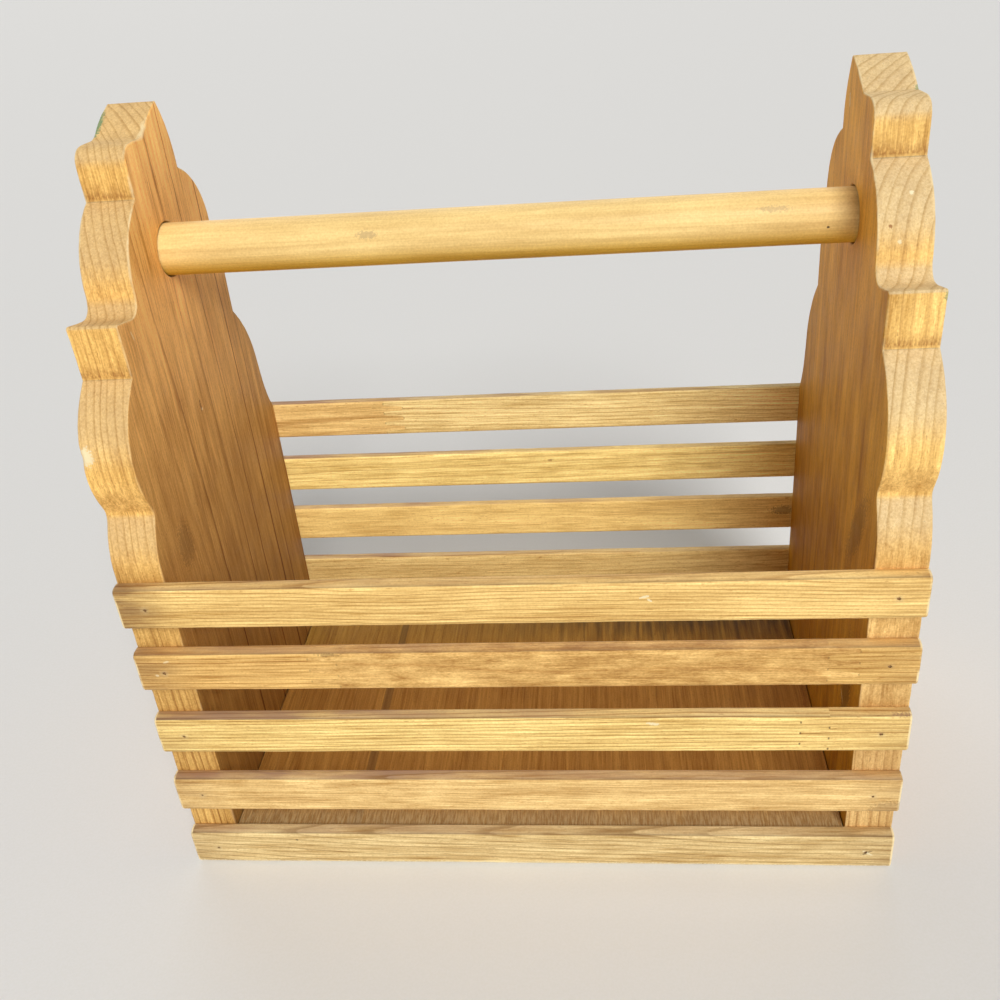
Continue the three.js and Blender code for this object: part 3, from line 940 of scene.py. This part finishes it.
# A dark brown: a smudge on the left inner face, and painted shadows on the right one.
SMUDGE_AND_SHADOW = tint(66, 40, 16)
BOARD_LOOKS = {
    "left": dict(
        PINE, grain="z", seed=3.0, pith=(-262.0, -82.0, 0.0), ring=2.9, sway=7.0, spring=0.5,
        sway_length=260.0, tremble=0.6, line=0.48, thread=0.45, blotch=0.8, face_line=2.1, foot_fuzz=0.35,
        early=tint(244, 192, 106), late=tint(160, 94, 24), end_pale=tint(218, 184, 130),
        # Painted light: the inner face darkens towards the bottom and brightens at the top; the edges behind
        # the slats are shaded.
        inner_painted_light=((0.43, 0.38, 0.33), (1.26, 1.14, 1.16)), foot_painted_light=((0.8, 0.81, 0.84), (0.68, 0.66, 0.63)),
        marks=[
            Mark((-149.6, 6.0, 306.4), (0.0, 7.5, 3.7), (1.7, 0.0, 0.0), OLD_PAINT, 0.85),
            Mark((-147.6, -70.5, 206.0), (0.0, 0.6, 4.2), (2.6, 0.0, 0.0), FRESH_WOOD, 0.75),
            Mark((-131.0, -7.0, 192.5), (0.0, 0.6, 3.6), (0.0, 0.8, 0.0), DARK_STAIN, 0.7),
            Mark((-131.0, -6.2, 190.6), (0.0, 0.5, 0.5), (0.0, 0.5, -0.5), RAW_WOOD, 0.8),
            Mark((-131.0, -50.0, 152.0), (0.0, 0.0, 11.0), (0.0, 7.0, 0.0), SMUDGE_AND_SHADOW, 0.3),
            Mark((-131.0, -47.0, 242.0), (0.0, 0.6, -2.6), (0.0, 0.35, 0.1), RAW_WOOD, 0.7),
        ],
    ),
    "right": dict(
        PINE, grain="z", seed=8.0, pith=(225.0, -90.0, 0.0), ring=3.7, sway=6.0, spring=0.5,
        sway_length=240.0, tremble=0.7, lean=-0.01, line=0.36, fibre=0.7, thread=0.2, streak=0.6,
        blotch=1.0, face_line=1.2, foot_fuzz=0.8,
        early=tint(246, 198, 114), late=tint(156, 92, 24), end_pale=tint(222, 197, 152),
        # Painted light: the inner face darkens and warms towards the bottom; the edges behind the slats are
        # shaded low down and a little bluer higher up.
        inner_painted_light=((0.53, 0.4, 0.08), (0.98, 0.78, 0.34)), foot_painted_light=((0.8, 0.82, 1.02), (0.99, 1.05, 1.22)),
        marks=[
            Mark((131.0, 16.9, 296.6), (0.0, 0.8, 3.0), (0.0, 0.45, -0.12), FRESH_WOOD, 0.85),
            Mark((149.7, -0.5, 302.9), (0.0, 2.0, 0.6), (1.1, 0.0, 0.0), OLD_PAINT, 0.6),
            Mark((149.8, -55.5, 248.0), (0.0, 1.6, 0.8), (1.0, 0.0, 0.0), OLD_PAINT, 0.6),
            Mark((142.6, -29.5, 274.6), (0.8, 0.0, 0.0), (0.0, 0.5, 0.7), FRESH_WOOD, 0.9),
            Mark((138.4, -37.6, 260.4), (0.8, 0.0, 0.0), (0.0, 0.2, 1.0), FRESH_WOOD, 0.8),
            Mark((135.2, -35.6, 265.3), (0.7, 0.0, 0.0), (0.0, 0.3, 0.8), SCORCHED, 0.8),
            # Painted shadows on the inner face: a soft wedge just inside the front edge above the top slat,
            # and a dark band lower down between the slats.
            Mark((131.0, -47.0, 150.0), (0.0, -11.0, 22.0), (0.0, 6.0, 3.0), SMUDGE_AND_SHADOW, 0.35),
            Mark((131.0, -54.0, 76.0), (0.0, 0.0, 30.0), (0.0, 7.0, 0.0), SMUDGE_AND_SHADOW, 0.6),
            Mark((131.0, -49.8, 68.9), (0.0, -2.6, -2.2), (0.0, 0.28, -0.33), RAW_WOOD, 0.7),
        ],
    ),
}
INNER_CHIPS = {
    "left": [((12.0, 309.0), 3.0, 0.7), ((5.0, 306.0), 2.2, 1.0), ((-0.5, 303.0), 3.0, 0.8)],
    "right": [],
}
OUTER_CHIPS = {"left": [((-70.5, 205.0), 3.5, 1.6)], "right": [((-55.0, 249.0), 2.5, 0.8)]}
INNER_ARRIS = (0.55, 0.3)
OUTER_ARRIS = (0.6, 0.35)
BOARD_SEEDS = {"left": 2.0, "right": 6.0}
RUBBED_FROM = 200.0
RUBBED_OVER = 90.0
RUBBED_RANGE = (0.2, 0.85)
SOCKET_GAP = 0.5
SOCKET_SIDES = 64
HOLE_RIM = 0.5
WELL_SIDES = 20
WELL_GAP = 0.08
WELL_FLOOR = 0.1
HEAD_THICKNESS = {"brad": 0.8, "panel_nail": 1.2, "handle_nail": 1.4}
Nail = namedtuple("Nail", "kind axis driven head radius length")


def nail_facts(node):
    """A packed nail's kind, its axis, the way it was driven, its head's middle and sizes in millimetres."""
    kind = next(kind for kind in HEAD_THICKNESS if node.startswith(kind))
    low, high = box_mm(node)
    size = high - low
    axis = max(range(3), key=lambda k: size[k])
    middle = (low + high) / 2
    driven = -1.0 if middle[axis] > 0 else 1.0
    head = middle.copy()
    head[axis] = low[axis] if driven > 0 else high[axis]
    radius = max(size[k] for k in range(3) if k != axis) / 2
    return Nail(kind, axis, driven, head, radius, size[axis])


NAILS = {node: nail_facts(node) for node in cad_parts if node.startswith(tuple(HEAD_THICKNESS))}


def round_hole(centre, radius, floor, count):
    """A hole with a worn rim, a wall darkened with depth by dirt and painted shade, and a flat floor.
    Each step is (radius, depth, worn_and_highlight, grime_and_shade).
    """
    rim = HOLE_RIM
    steps = [
        (radius + 2 * rim, 0.0, 0.0, 0.1), (radius + rim, 0.04, 0.3, 0.2),
        (radius + 0.3 * rim, 0.3 * rim, 0.3, 0.5), (radius, rim, 0.0, 0.8),
        (radius, (rim + floor) / 2, 0.0, 0.9), (radius, floor, 0.0, 0.9),
    ]
    return Hole(centre, steps, count)


def end_board(word, face_x):
    node = f"end_board_{word}"
    outline = board_outlines[word]
    low, high = box_mm(node)
    thickness = high.x - low.x
    outward = math.copysign(1.0, face_x)
    inner_x = face_x - outward * thickness
    dowel_low, dowel_high = box_mm("handle_dowel")
    dowel = (dowel_low + dowel_high) / 2
    dowel_reach = max(outward * dowel_low.x, outward * dowel_high.x)
    socket_radius = (dowel_high.z - dowel_low.z) / 2 + SOCKET_GAP
    socket_floor = dowel_reach - abs(inner_x) + SOCKET_GAP
    socket = round_hole((dowel.y, dowel.z), socket_radius, socket_floor, SOCKET_SIDES)
    wells = []
    for nail in NAILS.values():
        if nail.axis == 0 and nail.head.x * outward > 0:
            floor = abs(face_x - nail.head.x) + HEAD_THICKNESS[nail.kind] + WELL_FLOOR
            wells.append(round_hole((nail.head.y, nail.head.z), nail.radius + WELL_GAP, floor, WELL_SIDES))
    seed = BOARD_SEEDS[word]
    near = arris_widths(outline, *INNER_ARRIS, seed, INNER_CHIPS[word])
    far = arris_widths(outline, *OUTER_ARRIS, seed + 1, OUTER_CHIPS[word])
    rubbed = np.clip((outline.points[:, 1] - RUBBED_FROM) / RUBBED_OVER, *RUBBED_RANGE)

    def lay(u, v, d):
        return inner_x + outward * d, u, v

    skin = plate(outline, thickness, lay, near, far, rubbed, seed, [socket], wells)
    return skin.piece(node, "wood", "pine_board", pine_material(f"pine_{node}", [BOARD_LOOKS[word]]))


for word, face_x in board_faces.items():
    made = end_board(word, face_x)
    print(made.name, len(made.data.polygons), "faces")

# %% [markdown]
# ## The slats
# A slat is a thin strip with a flat back and rounded outer edges, nailed on with one brad at each end.
# It could be extruded and bevelled, but its ends are rubbed round, its edges wander, and each brad has
# pushed its head and a dent into the face. So a section is carried along the strip, station by station,
# and at each brad a block of faces is opened and drawn down into a well.

# %% Slat builder
NOSE_RADIUS = 2.4
NOSE_TURNS = (0.0, 15.0, 30.0, 40.0, 44.0, 48.0, 60.0, 75.0, 90.0)
NOSE_DIRT = {40.0: 0.3, 44.0: 1.8, 48.0: 1.0, 60.0: 0.35}
NOSE_SUPPORT = 0.25
BACK_RADIUS = 1.0
BACK_TURNS = (0.0, 30.0, 60.0, 90.0)
FACE_STEPS = 14
STATION_STEP = 3.0
BLOCK = 2
END_ROUNDING = 0.7
END_ARC = np.linspace(0.0, math.pi / 2, 4)
END_GAP = 0.4
CAP_INSET = 0.25
ROW_SEED = 2.3
BACK_SEED = 31.0
SLAT_WEAR = 0.14


def slat_section(thickness, height):
    """Points around a slat's section as (out from the back, up), the dirt that lies there, and the number
    from which the outer face's even steps count. A thin dirty line runs along the upper nose."""
    def arc(centre, radius, start, turns):
        angles = np.radians(start + np.array(turns))
        return [(centre[0] + radius * math.cos(a), centre[1] + radius * math.sin(a)) for a in angles]

    nose, back = NOSE_RADIUS, BACK_RADIUS
    lower_nose = arc((thickness - nose, nose), nose, -90.0, NOSE_TURNS)
    upper_nose = arc((thickness - nose, height - nose), nose, 0.0, NOSE_TURNS)
    upper_back = arc((back, height - back), back, 90.0, BACK_TURNS)
    lower_back = arc((back, back), back, 180.0, BACK_TURNS)
    face = [(thickness, up) for up in np.linspace(nose, height - nose, FACE_STEPS + 1)[1:-1]]
    face = [(thickness, nose + NOSE_SUPPORT), *face, (thickness, height - nose - NOSE_SUPPORT)]
    top = [(out, height) for out in np.linspace(thickness - nose, back, 4)[1:-1]]
    rear = [(0.0, up) for up in np.linspace(height - back, back, 8)[1:-1]]
    under = [(out, 0.0) for out in np.linspace(back, thickness - nose, 4)[1:-1]]
    section = lower_nose + face + upper_nose + top + upper_back + rear + lower_back + under
    dirt = np.zeros(len(section))
    first = len(lower_nose) + len(face)
    dirt[first:first + len(NOSE_TURNS)] = [NOSE_DIRT.get(turn, 0.0) for turn in NOSE_TURNS]
    return np.array(section), dirt, len(lower_nose)


def stations_for(length, brad_places, block_step):
    """Places along a slat: close together at the ends and around brads."""
    half = length / 2
    free_end = half - END_ROUNDING - END_GAP
    marks = [-free_end, free_end]
    for place in brad_places:
        marks.extend(place + k * block_step for k in range(-BLOCK, BLOCK + 1))
    marks = sorted(marks)
    places = []
    for start, end in zip(marks, marks[1:]):
        count = max(1, round((end - start) / STATION_STEP))
        places.extend(start + (end - start) * k / count for k in range(count))
    return np.array(places + [marks[-1]])


def slat_skin(side, row):
    node = f"{side}_slat_{row}"
    low, high = box_mm(node)
    out = -1.0 if side == "front" else 1.0
    back = high.y if side == "front" else low.y
    thickness, height, length = high.y - low.y, high.z - low.z, high.x - low.x
    section, dirt, face_start = slat_section(thickness, height)
    outline = measure_outline(section)
    block_step = (height - 2 * NOSE_RADIUS) / FACE_STEPS
    brads = [NAILS[f"brad_{side}_{end}_{row}"] for end in ("left", "right")]
    places = stations_for(length, [brad.head.x for brad in brads], block_step)
    seed = row * ROW_SEED + (0.0 if side == "front" else BACK_SEED)
    skin = Skin()

    def station(x, inset, worn_and_highlight):
        rubbed = [wear_at(x, point, thickness, height, seed) for point in section]
        plan = ring_on_plan(outline, np.array(rubbed) + inset)
        lying = dirt * np.clip(0.8 + 0.7 * wavy(x, 19.0, seed + 9), 0.45, 1.0)
        return skin.ring([(x, back + out * t, low.z + h) for t, h in plan], worn_and_highlight, lying)

    # A slat's rounded ends are rubbed pale and carry a strong painted highlight, brightest on the corners.
    def end_rings(sign):
        end = sign * length / 2
        size = END_ROUNDING * (1 + 0.35 * np.array([wavy(h, 4.0, seed + sign, t) for t, h in section]))
        rings = [station(end, size + CAP_INSET, 0.6)]
        for angle in END_ARC:
            x = end - sign * END_ROUNDING * (1 - math.cos(angle))
            rings.append(station(x, size * (1 - math.sin(angle)), 1.2 + 0.6 * math.sin(2 * angle)))
        return rings

    left, right = end_rings(-1), end_rings(1)
    middle = [station(x, 0.0, 0.0) for x in places]
    rings = left + middle + right[::-1]
    opened = set()
    face_middle = face_start + FACE_STEPS // 2
    for brad in brads:
        centre = int(np.argmin(abs(places - brad.head.x))) + len(left)
        block = range(-BLOCK, BLOCK)
        opened.update((centre + i, face_middle + j) for i in block for j in block)
        brad_well(skin, rings, centre, face_middle, brad, back + out * thickness, out)
    skin.bar(rings, opened)
    return node, skin


def wear_at(x, point, thickness, height, seed):
    """How much of a slat's surface is gone at a place along it: a little everywhere, more on the edges."""
    out, up = point
    edge = min(1.0, (abs(up - height / 2) / (height / 2)) ** 4) * (out / thickness)
    slow = 0.5 + 0.5 * wavy(x, 28.0, seed, up / 9.0)
    quick = max(0.0, wavy(x, 7.0, seed + 3, up / 5.0))
    return SLAT_WEAR * (slow * 0.6 + edge * (0.8 * slow + 1.6 * quick))


def brad_well(skin, rings, centre, middle, brad, face, out):
    """Joins the opened block to a dent and a well. Fibres have closed a little over the sunk head.
    The well darkens with depth: dirt and painted shade.
    Each step is (radius, depth, worn_and_highlight, grime_and_shade)."""
    rim = [rings[centre - BLOCK + k][middle - BLOCK] for k in range(2 * BLOCK)]
    rim += [rings[centre + BLOCK][middle - BLOCK + k] for k in range(2 * BLOCK)]
    rim += [rings[centre + BLOCK - k][middle + BLOCK] for k in range(2 * BLOCK)]
    rim += [rings[centre - BLOCK][middle + BLOCK - k] for k in range(2 * BLOCK)]
    head = brad.head
    turns = [math.atan2(skin.points[i][2] - head.z, skin.points[i][0] - head.x) for i in rim]
    radius = brad.radius + WELL_GAP
    floor = abs(face - head.y) + HEAD_THICKNESS[brad.kind] + WELL_FLOOR
    mouth = radius * (0.5 + 0.3 * wavy(head.z, 8.0, head.x))
    steps = [
        (1.5 * radius, 0.02, 0.1, 0.0), (mouth + 0.4 * radius, 0.07, 0.2, 0.2),
        (mouth + 0.1, 0.16, 0.1, 0.5), (mouth, 0.3, 0.0, 0.6),
        (radius, 0.58, 0.0, 0.7), (radius, floor, 0.0, 0.7),
    ]
    wells = [rim]
    for size, depth, worn_and_highlight, grime_and_shade in steps:
        ragged = [size * (1.0 + 0.55 * wavy(a, 0.8, head.x + head.z) * (depth < 0.5)) for a in turns]
        points = [
            (head.x + s * math.cos(a), face - out * depth, head.z + 0.9 * s * math.sin(a))
            for s, a in zip(ragged, turns)
        ]
        wells.append(skin.ring(points, worn_and_highlight, grime_and_shade))
    skin.bridge(wells)
    skin.cap(wells[-1])


print("a slat's face is split into", FACE_STEPS, "strips")

# %% [markdown]
# ## Every slat its own stick
# The strips were sawn from different offcuts. Some were cut across the rings and show straight amber lines,
# some along them and look mottled. Three were glued up from shorter sticks with finger joints, and the
# change of wood at the joint is plain to see. The heart of each stick's tree is set apart from the next.

# %% Slats
SLAT = dict(PINE, spring=0.5, tremble=0.35, dusty_top=0.85, dirty_ends=(0.5, 0.45))
DARK_SPECK = tint(70, 52, 36)
PURPLE_SMUDGE = tint(138, 100, 82)


def slat_look(node, heart, **own):
    """A slat's pine. heart is where the tree's heart lies, (out, up) from the slat's middle."""
    low, high = box_mm(node)
    middle = (low + high) / 2
    return {**SLAT, **own, "pith": (0.0, middle.y + heart[0], middle.z + heart[1])}


def scratch(at, along, up, width, shade=FRESH_WOOD, strength=0.8):
    """A short mark on a slat's face."""
    size = math.hypot(along, up)
    return Mark(at, (along, 0.0, up), (-up * width / size, 0.0, along * width / size), shade, strength)


SLAT_WOODS = {
    "front_slat_5": [
        dict(heart=(34.0, -58.0), seed=11.0, ring=1.47, line=0.75, dirty_ends=(1.15, 0.1), dusty_top=0.45,
             marks=[scratch((49.6, -79.0, 145.4), 2.0, 0.6, 0.7),
                    scratch((51.4, -79.0, 143.9), 1.0, -0.9, 0.5)]),
    ],
    "front_slat_4": [
        dict(heart=(32.0, -54.0), seed=18.0, ring=1.57, line=0.8, dirty_ends=(0.75, 0.35), dusty_top=0.6,
             early=tint(232, 186, 110),
             marks=[scratch((-137.0, -79.0, 117.0), 1.4, 0.5, 0.5, strength=0.5),
                    scratch((-142.0, -79.0, 110.2), 1.0, -0.5, 0.6, strength=0.5),
                    scratch((-72.0, -77.8, 119.4), 6.0, 0.0, 0.7, DARK_SPECK, 0.45)]),
        dict(heart=(38.0, -9.0), seed=12.0, ring=2.2, line=0.3, sway=9.0, mottle=0.75, fleck=0.4,
             blotch=0.9, thread=0.3, streak=0.4, early=tint(222, 176, 104)),
        dict(heart=(30.0, -52.0), seed=19.0, ring=1.75, line=0.7, early=tint(230, 186, 110)),
    ],
    "front_slat_3": [
        dict(heart=(34.0, 64.0), seed=13.0, ring=1.55, line=0.85, sway=3.0, dirty_ends=(0.4, 0.45),
             early=tint(248, 214, 134),
             marks=[scratch((52.0, -79.0, 83.0), 3.0, -0.3, 0.8),
                    scratch((146.0, -78.6, 88.4), 8.0, -1.0, 3.0, PURPLE_SMUDGE, 0.6)]),
        dict(heart=(34.0, 60.0), seed=20.0, ring=1.93, line=0.75, sway=6.0, early=tint(246, 210, 132)),
    ],
    "front_slat_2": [
        dict(heart=(26.0, -40.0), seed=14.0, ring=1.1, line=0.35, fibre=1.0, thread=0.5, blotch=0.6,
             mottle=0.25, dusty_top=1.0, early=tint(235, 196, 128), late=tint(184, 124, 46),
             marks=[scratch((145.0, -79.0, 36.0), 8.0, 2.0, 4.5, SMUDGE, 0.35)]),
    ],
    "front_slat_1": [
        dict(heart=(20.0, -46.0), seed=15.0, ring=2.4, line=0.7, sway=9.0, lean=0.05, blotch=0.6,
             mottle=0.2, dusty_top=0.5, early=tint(228, 198, 138), late=tint(148, 110, 56),
             marks=[scratch((0.0, -78.0, 1.3), 210.0, 0.0, 1.3, FRESH_WOOD, 0.75),
                    scratch((-102.5, -79.0, 15.2), 0.5, 0.0, 0.4, DARK_SPECK, 0.9),
                    scratch((139.6, -79.0, 9.6), 2.6, 1.7, 0.6, DARK_SPECK, 0.55),
                    scratch((139.6, -79.0, 9.6), 2.4, -1.8, 0.6, FRESH_WOOD, 0.7)]),
    ],
    "back_slat_5": [
        dict(heart=(-40.0, 14.0), seed=21.0, ring=3.4, line=0.4, sway=10.0, early=tint(244, 208, 134)),
        dict(heart=(-12.0, -52.0), seed=22.0, ring=2.2, line=0.6, sway=7.0, streak=0.5,
             early=tint(252, 226, 154)),
    ],
    "back_slat_4": [
        dict(heart=(-30.0, 30.0), seed=23.0, ring=2.2, line=0.35, mottle=0.2, fleck=0.4, streak=0.4,
             early=tint(254, 226, 142),
             marks=[scratch((8.2, 73.5, 112.7), 1.6, 0.4, 0.8, DARK_STAIN, 0.6)]),
    ],
    "back_slat_3": [
        dict(heart=(-50.0, 10.0), seed=24.0, ring=4.0, line=0.25, sway=10.0, streak=0.4, thread=0.4,
             early=tint(246, 212, 132),
             marks=[scratch((126.7, 73.5, 78.5), 7.0, 0.0, 3.0, OLD_DIRT, 0.5)]),
    ],
    "back_slat_2": [
        dict(heart=(-24.0, 40.0), seed=25.0, ring=2.4, line=0.35, streak=0.4, thread=0.4,
             early=tint(238, 208, 136)),
    ],
    "back_slat_1": [
        dict(heart=(-20.0, -50.0), seed=26.0, ring=2.8, line=0.5, early=tint(222, 184, 116)),
    ],
}
JOINTS = {
    "front_slat_4": [dict(near=-80.0, far=-69.0, foot=2.8, glue=0.3, soft=2.5),
                     dict(near=116.7, far=128.1, foot=1.0, glue=0.35)],
    "front_slat_3": [dict(near=108.5, far=119.4, foot=2.2, glue=0.8)],
    "back_slat_5": [dict(near=-74.4, far=-64.6, foot=0.0, glue=0.3)],
}

for side in ("front", "back"):
    for row in range(1, 6):
        node, skin = slat_skin(side, row)
        woods = [slat_look(node, **wood) for wood in SLAT_WOODS[node]]
        finish = pine_material(f"pine_{node}", woods, JOINTS.get(node, ()))
        made = skin.piece(node, "wood", "pine_slat", finish)
        print(made.name, len(made.data.polygons), "faces")

# %% [markdown]
# ## The bottom
# The bottom is a piece of plywood whose face grain runs from front to back. Its front edge was cut across
# the grain and has splintered, so its arris there is wide and ragged. The finish is the same solid pine idea
# with wide, faint rings, because a peeled sheet is cut along them.

# %% Plywood bottom
PLY_LOOK = dict(
    PINE, grain="y", seed=30.0, pith=(30.0, 0.0, -190.0), ring=3.4, sway=26.0, sway_length=260.0,
    tremble=2.0, lean=0.004, line=0.25, fibre=0.7, streak=0.6, early=tint(188, 136, 64),
    late=tint(138, 92, 42), rough=0.66, bump=0.25,
)
PLY_GREY = tint(174, 150, 108)
PLY_SPLINTER = tint(140, 108, 66)
PLY_STAIN = tint(74, 50, 20)
PLY_FILLER = tint(112, 82, 46)
PLY_PAINTED_SHADE = (0.72, 0.78, 0.62)
PLY_STRIPE = -77.0
PLY_SEED = 40.0
PLY_WEAR = 0.15
PLY_SPLINTERS = 0.9
PLY_CORNER = 3.0
PLY_ARRIS = {"near": (0.5, 0.25, 41.0), "far": (0.4, 0.2, 42.0)}
TEXTURES.update(stripe=(60.0, 9.0), ragged=(6.0, 0.7, 3.0), hung=(30.0, 2.6, 3.0))
STEPS.update(stripe=(1.65, 2.2), ply_front=(-64.0, -50.0), splinter=(0.36, 0.64), ply_dim=(10.0, 60.0),
             ply_back=(68.0, 100.0), ply_right=(-90.0, 60.0))


def plywood_material():
    """Plywood with a filled stripe, a grey splintery front strip, painted shade that dims its back part,
    and dark streaks along its back edge.
    """
    material, place = new_material("plywood_bottom")
    colour, lines, fibre = grain_colour(place, PLY_LOOK)
    along, depth = place.dot(ALONG), place.dot(BACK)
    wander = (texture(place, PLY_LOOK, "stripe") - 0.5) * 2.0
    stripe = 1.0 - step((along + wander - PLY_STRIPE).maths("ABSOLUTE"), "stripe")
    colour = (stripe * 0.55).mix(colour, PLY_FILLER)
    ragged = texture(place, PLY_LOOK, "ragged")
    front = 1.0 - step(depth + ragged * 12.0, "ply_front")
    colour = (front * 0.8).mix(colour, step(ragged, "splinter").mix(PLY_SPLINTER, PLY_GREY))
    # Painted shade: the bottom darkens towards the back, inside the crate.
    colour = step(depth, "ply_dim").mix(colour, colour * PLY_PAINTED_SHADE)
    hung = texture(place, PLY_LOOK, "hung")
    back = step(depth + hung * 60.0, "ply_back") * step(along, "ply_right")
    colour = (back * 0.85).mix(colour, PLY_STAIN)
    colour, roughness, height = wear_dirt_and_painted_light(place, PLY_LOOK, colour, lines, fibre)
    height = height + ragged * front
    finish_material(place, colour, roughness, height, PLY_LOOK["bump"], {"Specular IOR Level": 0.2})
    return material


def bottom_panel():
    low, high = box_mm("bottom_panel")
    corners = np.array([(low.x, low.y), (high.x, low.y), (high.x, high.y), (low.x, high.y)])
    outline = worn_outline(corners)
    near, far = (arris_widths(outline, *PLY_ARRIS[face]) for face in ("near", "far"))
    front = outline.points[:, 1] < low.y + 0.5
    splinters = np.array([abs(wavy(s, 0.9, 43.0)) + 0.5 * abs(wavy(s, 3.7, 44.0)) for s in outline.along])
    near = np.where(front & (outline.room > PLY_CORNER), near + PLY_SPLINTERS * splinters, near)

    def lay(u, v, d):
        return u, v, high.z - d

    skin = plate(outline, high.z - low.z, lay, near, far, PLY_WEAR, PLY_SEED)
    return skin.piece("bottom_panel", "wood", "plywood", plywood_material())


made = bottom_panel()
print(made.name, len(made.data.polygons), "faces")

# %% [markdown]
# ## The handle
# The handle is a bought dowel of a paler, finer wood, planed round and never quite even. A lathe profile
# carried round its axis would do, but a hand feels flats and waves in it, so each ring is drawn in a little
# by noise. Its ends are chamfered to go into the sockets.

# %% Dowel handle
DOWEL_LOOK = dict(
    PINE, seed=50.0, pith=(0.0, 46.0, 214.0), ring=2.1, sway=4.0, tremble=0.6, line=0.16, fibre=0.22,
    thread=0.15, streak=0.35, blotch=0.4, fleck=0.1, early=tint(242, 206, 134), late=tint(196, 146, 80),
    # The underside is darkened and warmed as painted shade.
    rough=0.5, bump=0.08, under_painted_shade=(0.86, 0.72, 0.18),
    marks=[
        Mark((-49.3, -9.0, 263.2), (4.5, 0.0, 0.0), (0.0, 1.0, 1.6), tint(176, 150, 108), 0.5),
        Mark((101.4, -9.0, 265.4), (7.0, 0.0, 0.0), (0.0, 0.8, 1.2), tint(186, 160, 116), 0.45),
        Mark((120.4, -10.0, 257.6), (0.6, 0.0, 0.0), (0.0, 0.0, 0.5), DARK_SPECK, 0.9),
    ],
)
DOWEL_SIDES = 72
DOWEL_STEP = 3.0
DOWEL_END = 1.6
DOWEL_CHAMFER = 0.8
DOWEL_UNEVEN = 0.07


def handle_dowel():
    low, high = box_mm("handle_dowel")
    middle = (low + high) / 2
    radius = (high.z - low.z) / 2
    skin = Skin()
    turns = full_turn(DOWEL_SIDES)

    def ring(x, inset, worn_and_highlight=0.0):
        rubbed = [0.5 + 0.5 * wavy(x, 31.0, 51.0, 1.3 * math.sin(a)) for a in turns]
        size = radius - inset - DOWEL_UNEVEN * np.array(rubbed)
        circle = [(s * math.cos(a), s * math.sin(a)) for s, a in zip(size, turns)]
        return skin.ring([(x, middle.y + y, middle.z + z) for y, z in circle], worn_and_highlight)

    count = round((high.x - low.x) / DOWEL_STEP) + 1
    body = np.linspace(low.x + DOWEL_END, high.x - DOWEL_END, count)
    chamfer = [
        (0.0, DOWEL_CHAMFER + 0.4), (0.0, DOWEL_CHAMFER), (0.25, 0.4), (DOWEL_CHAMFER, 0.06), (1.1, 0.0),
    ]
    rings = [ring(low.x + setback, inset, 0.5) for setback, inset in chamfer]
    rings += [ring(x, 0.0) for x in body]
    rings += [ring(high.x - setback, inset, 0.5) for setback, inset in reversed(chamfer)]
    skin.bar(rings)
    return skin.piece("handle_dowel", "wood", "dowel_wood", pine_material("dowel_wood", [DOWEL_LOOK]))


made = handle_dowel()
print(made.name, len(made.data.polygons), "faces")

# %% [markdown]
# ## Brads and nails
# Only their heads show, as small dark spots, but each is a whole nail: a domed head, a shank and a point.
# They are turned on a lathe of rings, like the dowel. The steel has dulled and spotted with rust.

# %% Nails
NAIL_SIDES = 20
SHANK_SHARE = 0.6
POINT_LENGTH = {"brad": 2.5, "panel_nail": 3.5, "handle_nail": 4.0}
HEAD_DOME = 0.1


def nail_material():
    material, place = new_material("dull_steel")
    spots = place.noise(1.9, 3.0)
    rust = spots.smooth(0.48, 0.66)
    colour = rust.mix(tint(172, 132, 88), tint(122, 80, 46))
    finish_material(place, colour, 0.5 + rust * 0.4, spots, 0.05, {"Metallic": 0.3})
    return material


STEEL = nail_material()


def nail(node):
    kind, axis, driven, middle, radius, length = NAILS[node]
    head, point = HEAD_THICKNESS[kind], POINT_LENGTH[kind]
    shank = radius * SHANK_SHARE
    profile = [
        (0.0, 0.45 * radius), (0.02, 0.75 * radius), (HEAD_DOME, 0.93 * radius), (HEAD_DOME * 2.2, radius),
        (head * 0.85, radius), (head, 0.95 * radius), (head + 0.15, shank * 1.05), (head + 0.6, shank),
        (length - point, shank), (length - point * 0.4, shank * 0.55), (length - 0.05, shank * 0.08),
    ]
    across = [k for k in range(3) if k != axis]
    skin = Skin()
    rings = []
    for depth, size in profile:
        points = []
        for turn in full_turn(NAIL_SIDES):
            place = middle.copy()
            place[axis] += driven * depth
            place[across[0]] += size * math.cos(turn)
            place[across[1]] += size * math.sin(turn)
            points.append(place)
        rings.append(skin.ring(points))
    skin.bar(rings)
    return skin.piece(node, "steel", "nail_steel", STEEL)


print(len([nail(node) for node in NAILS]), "nails")
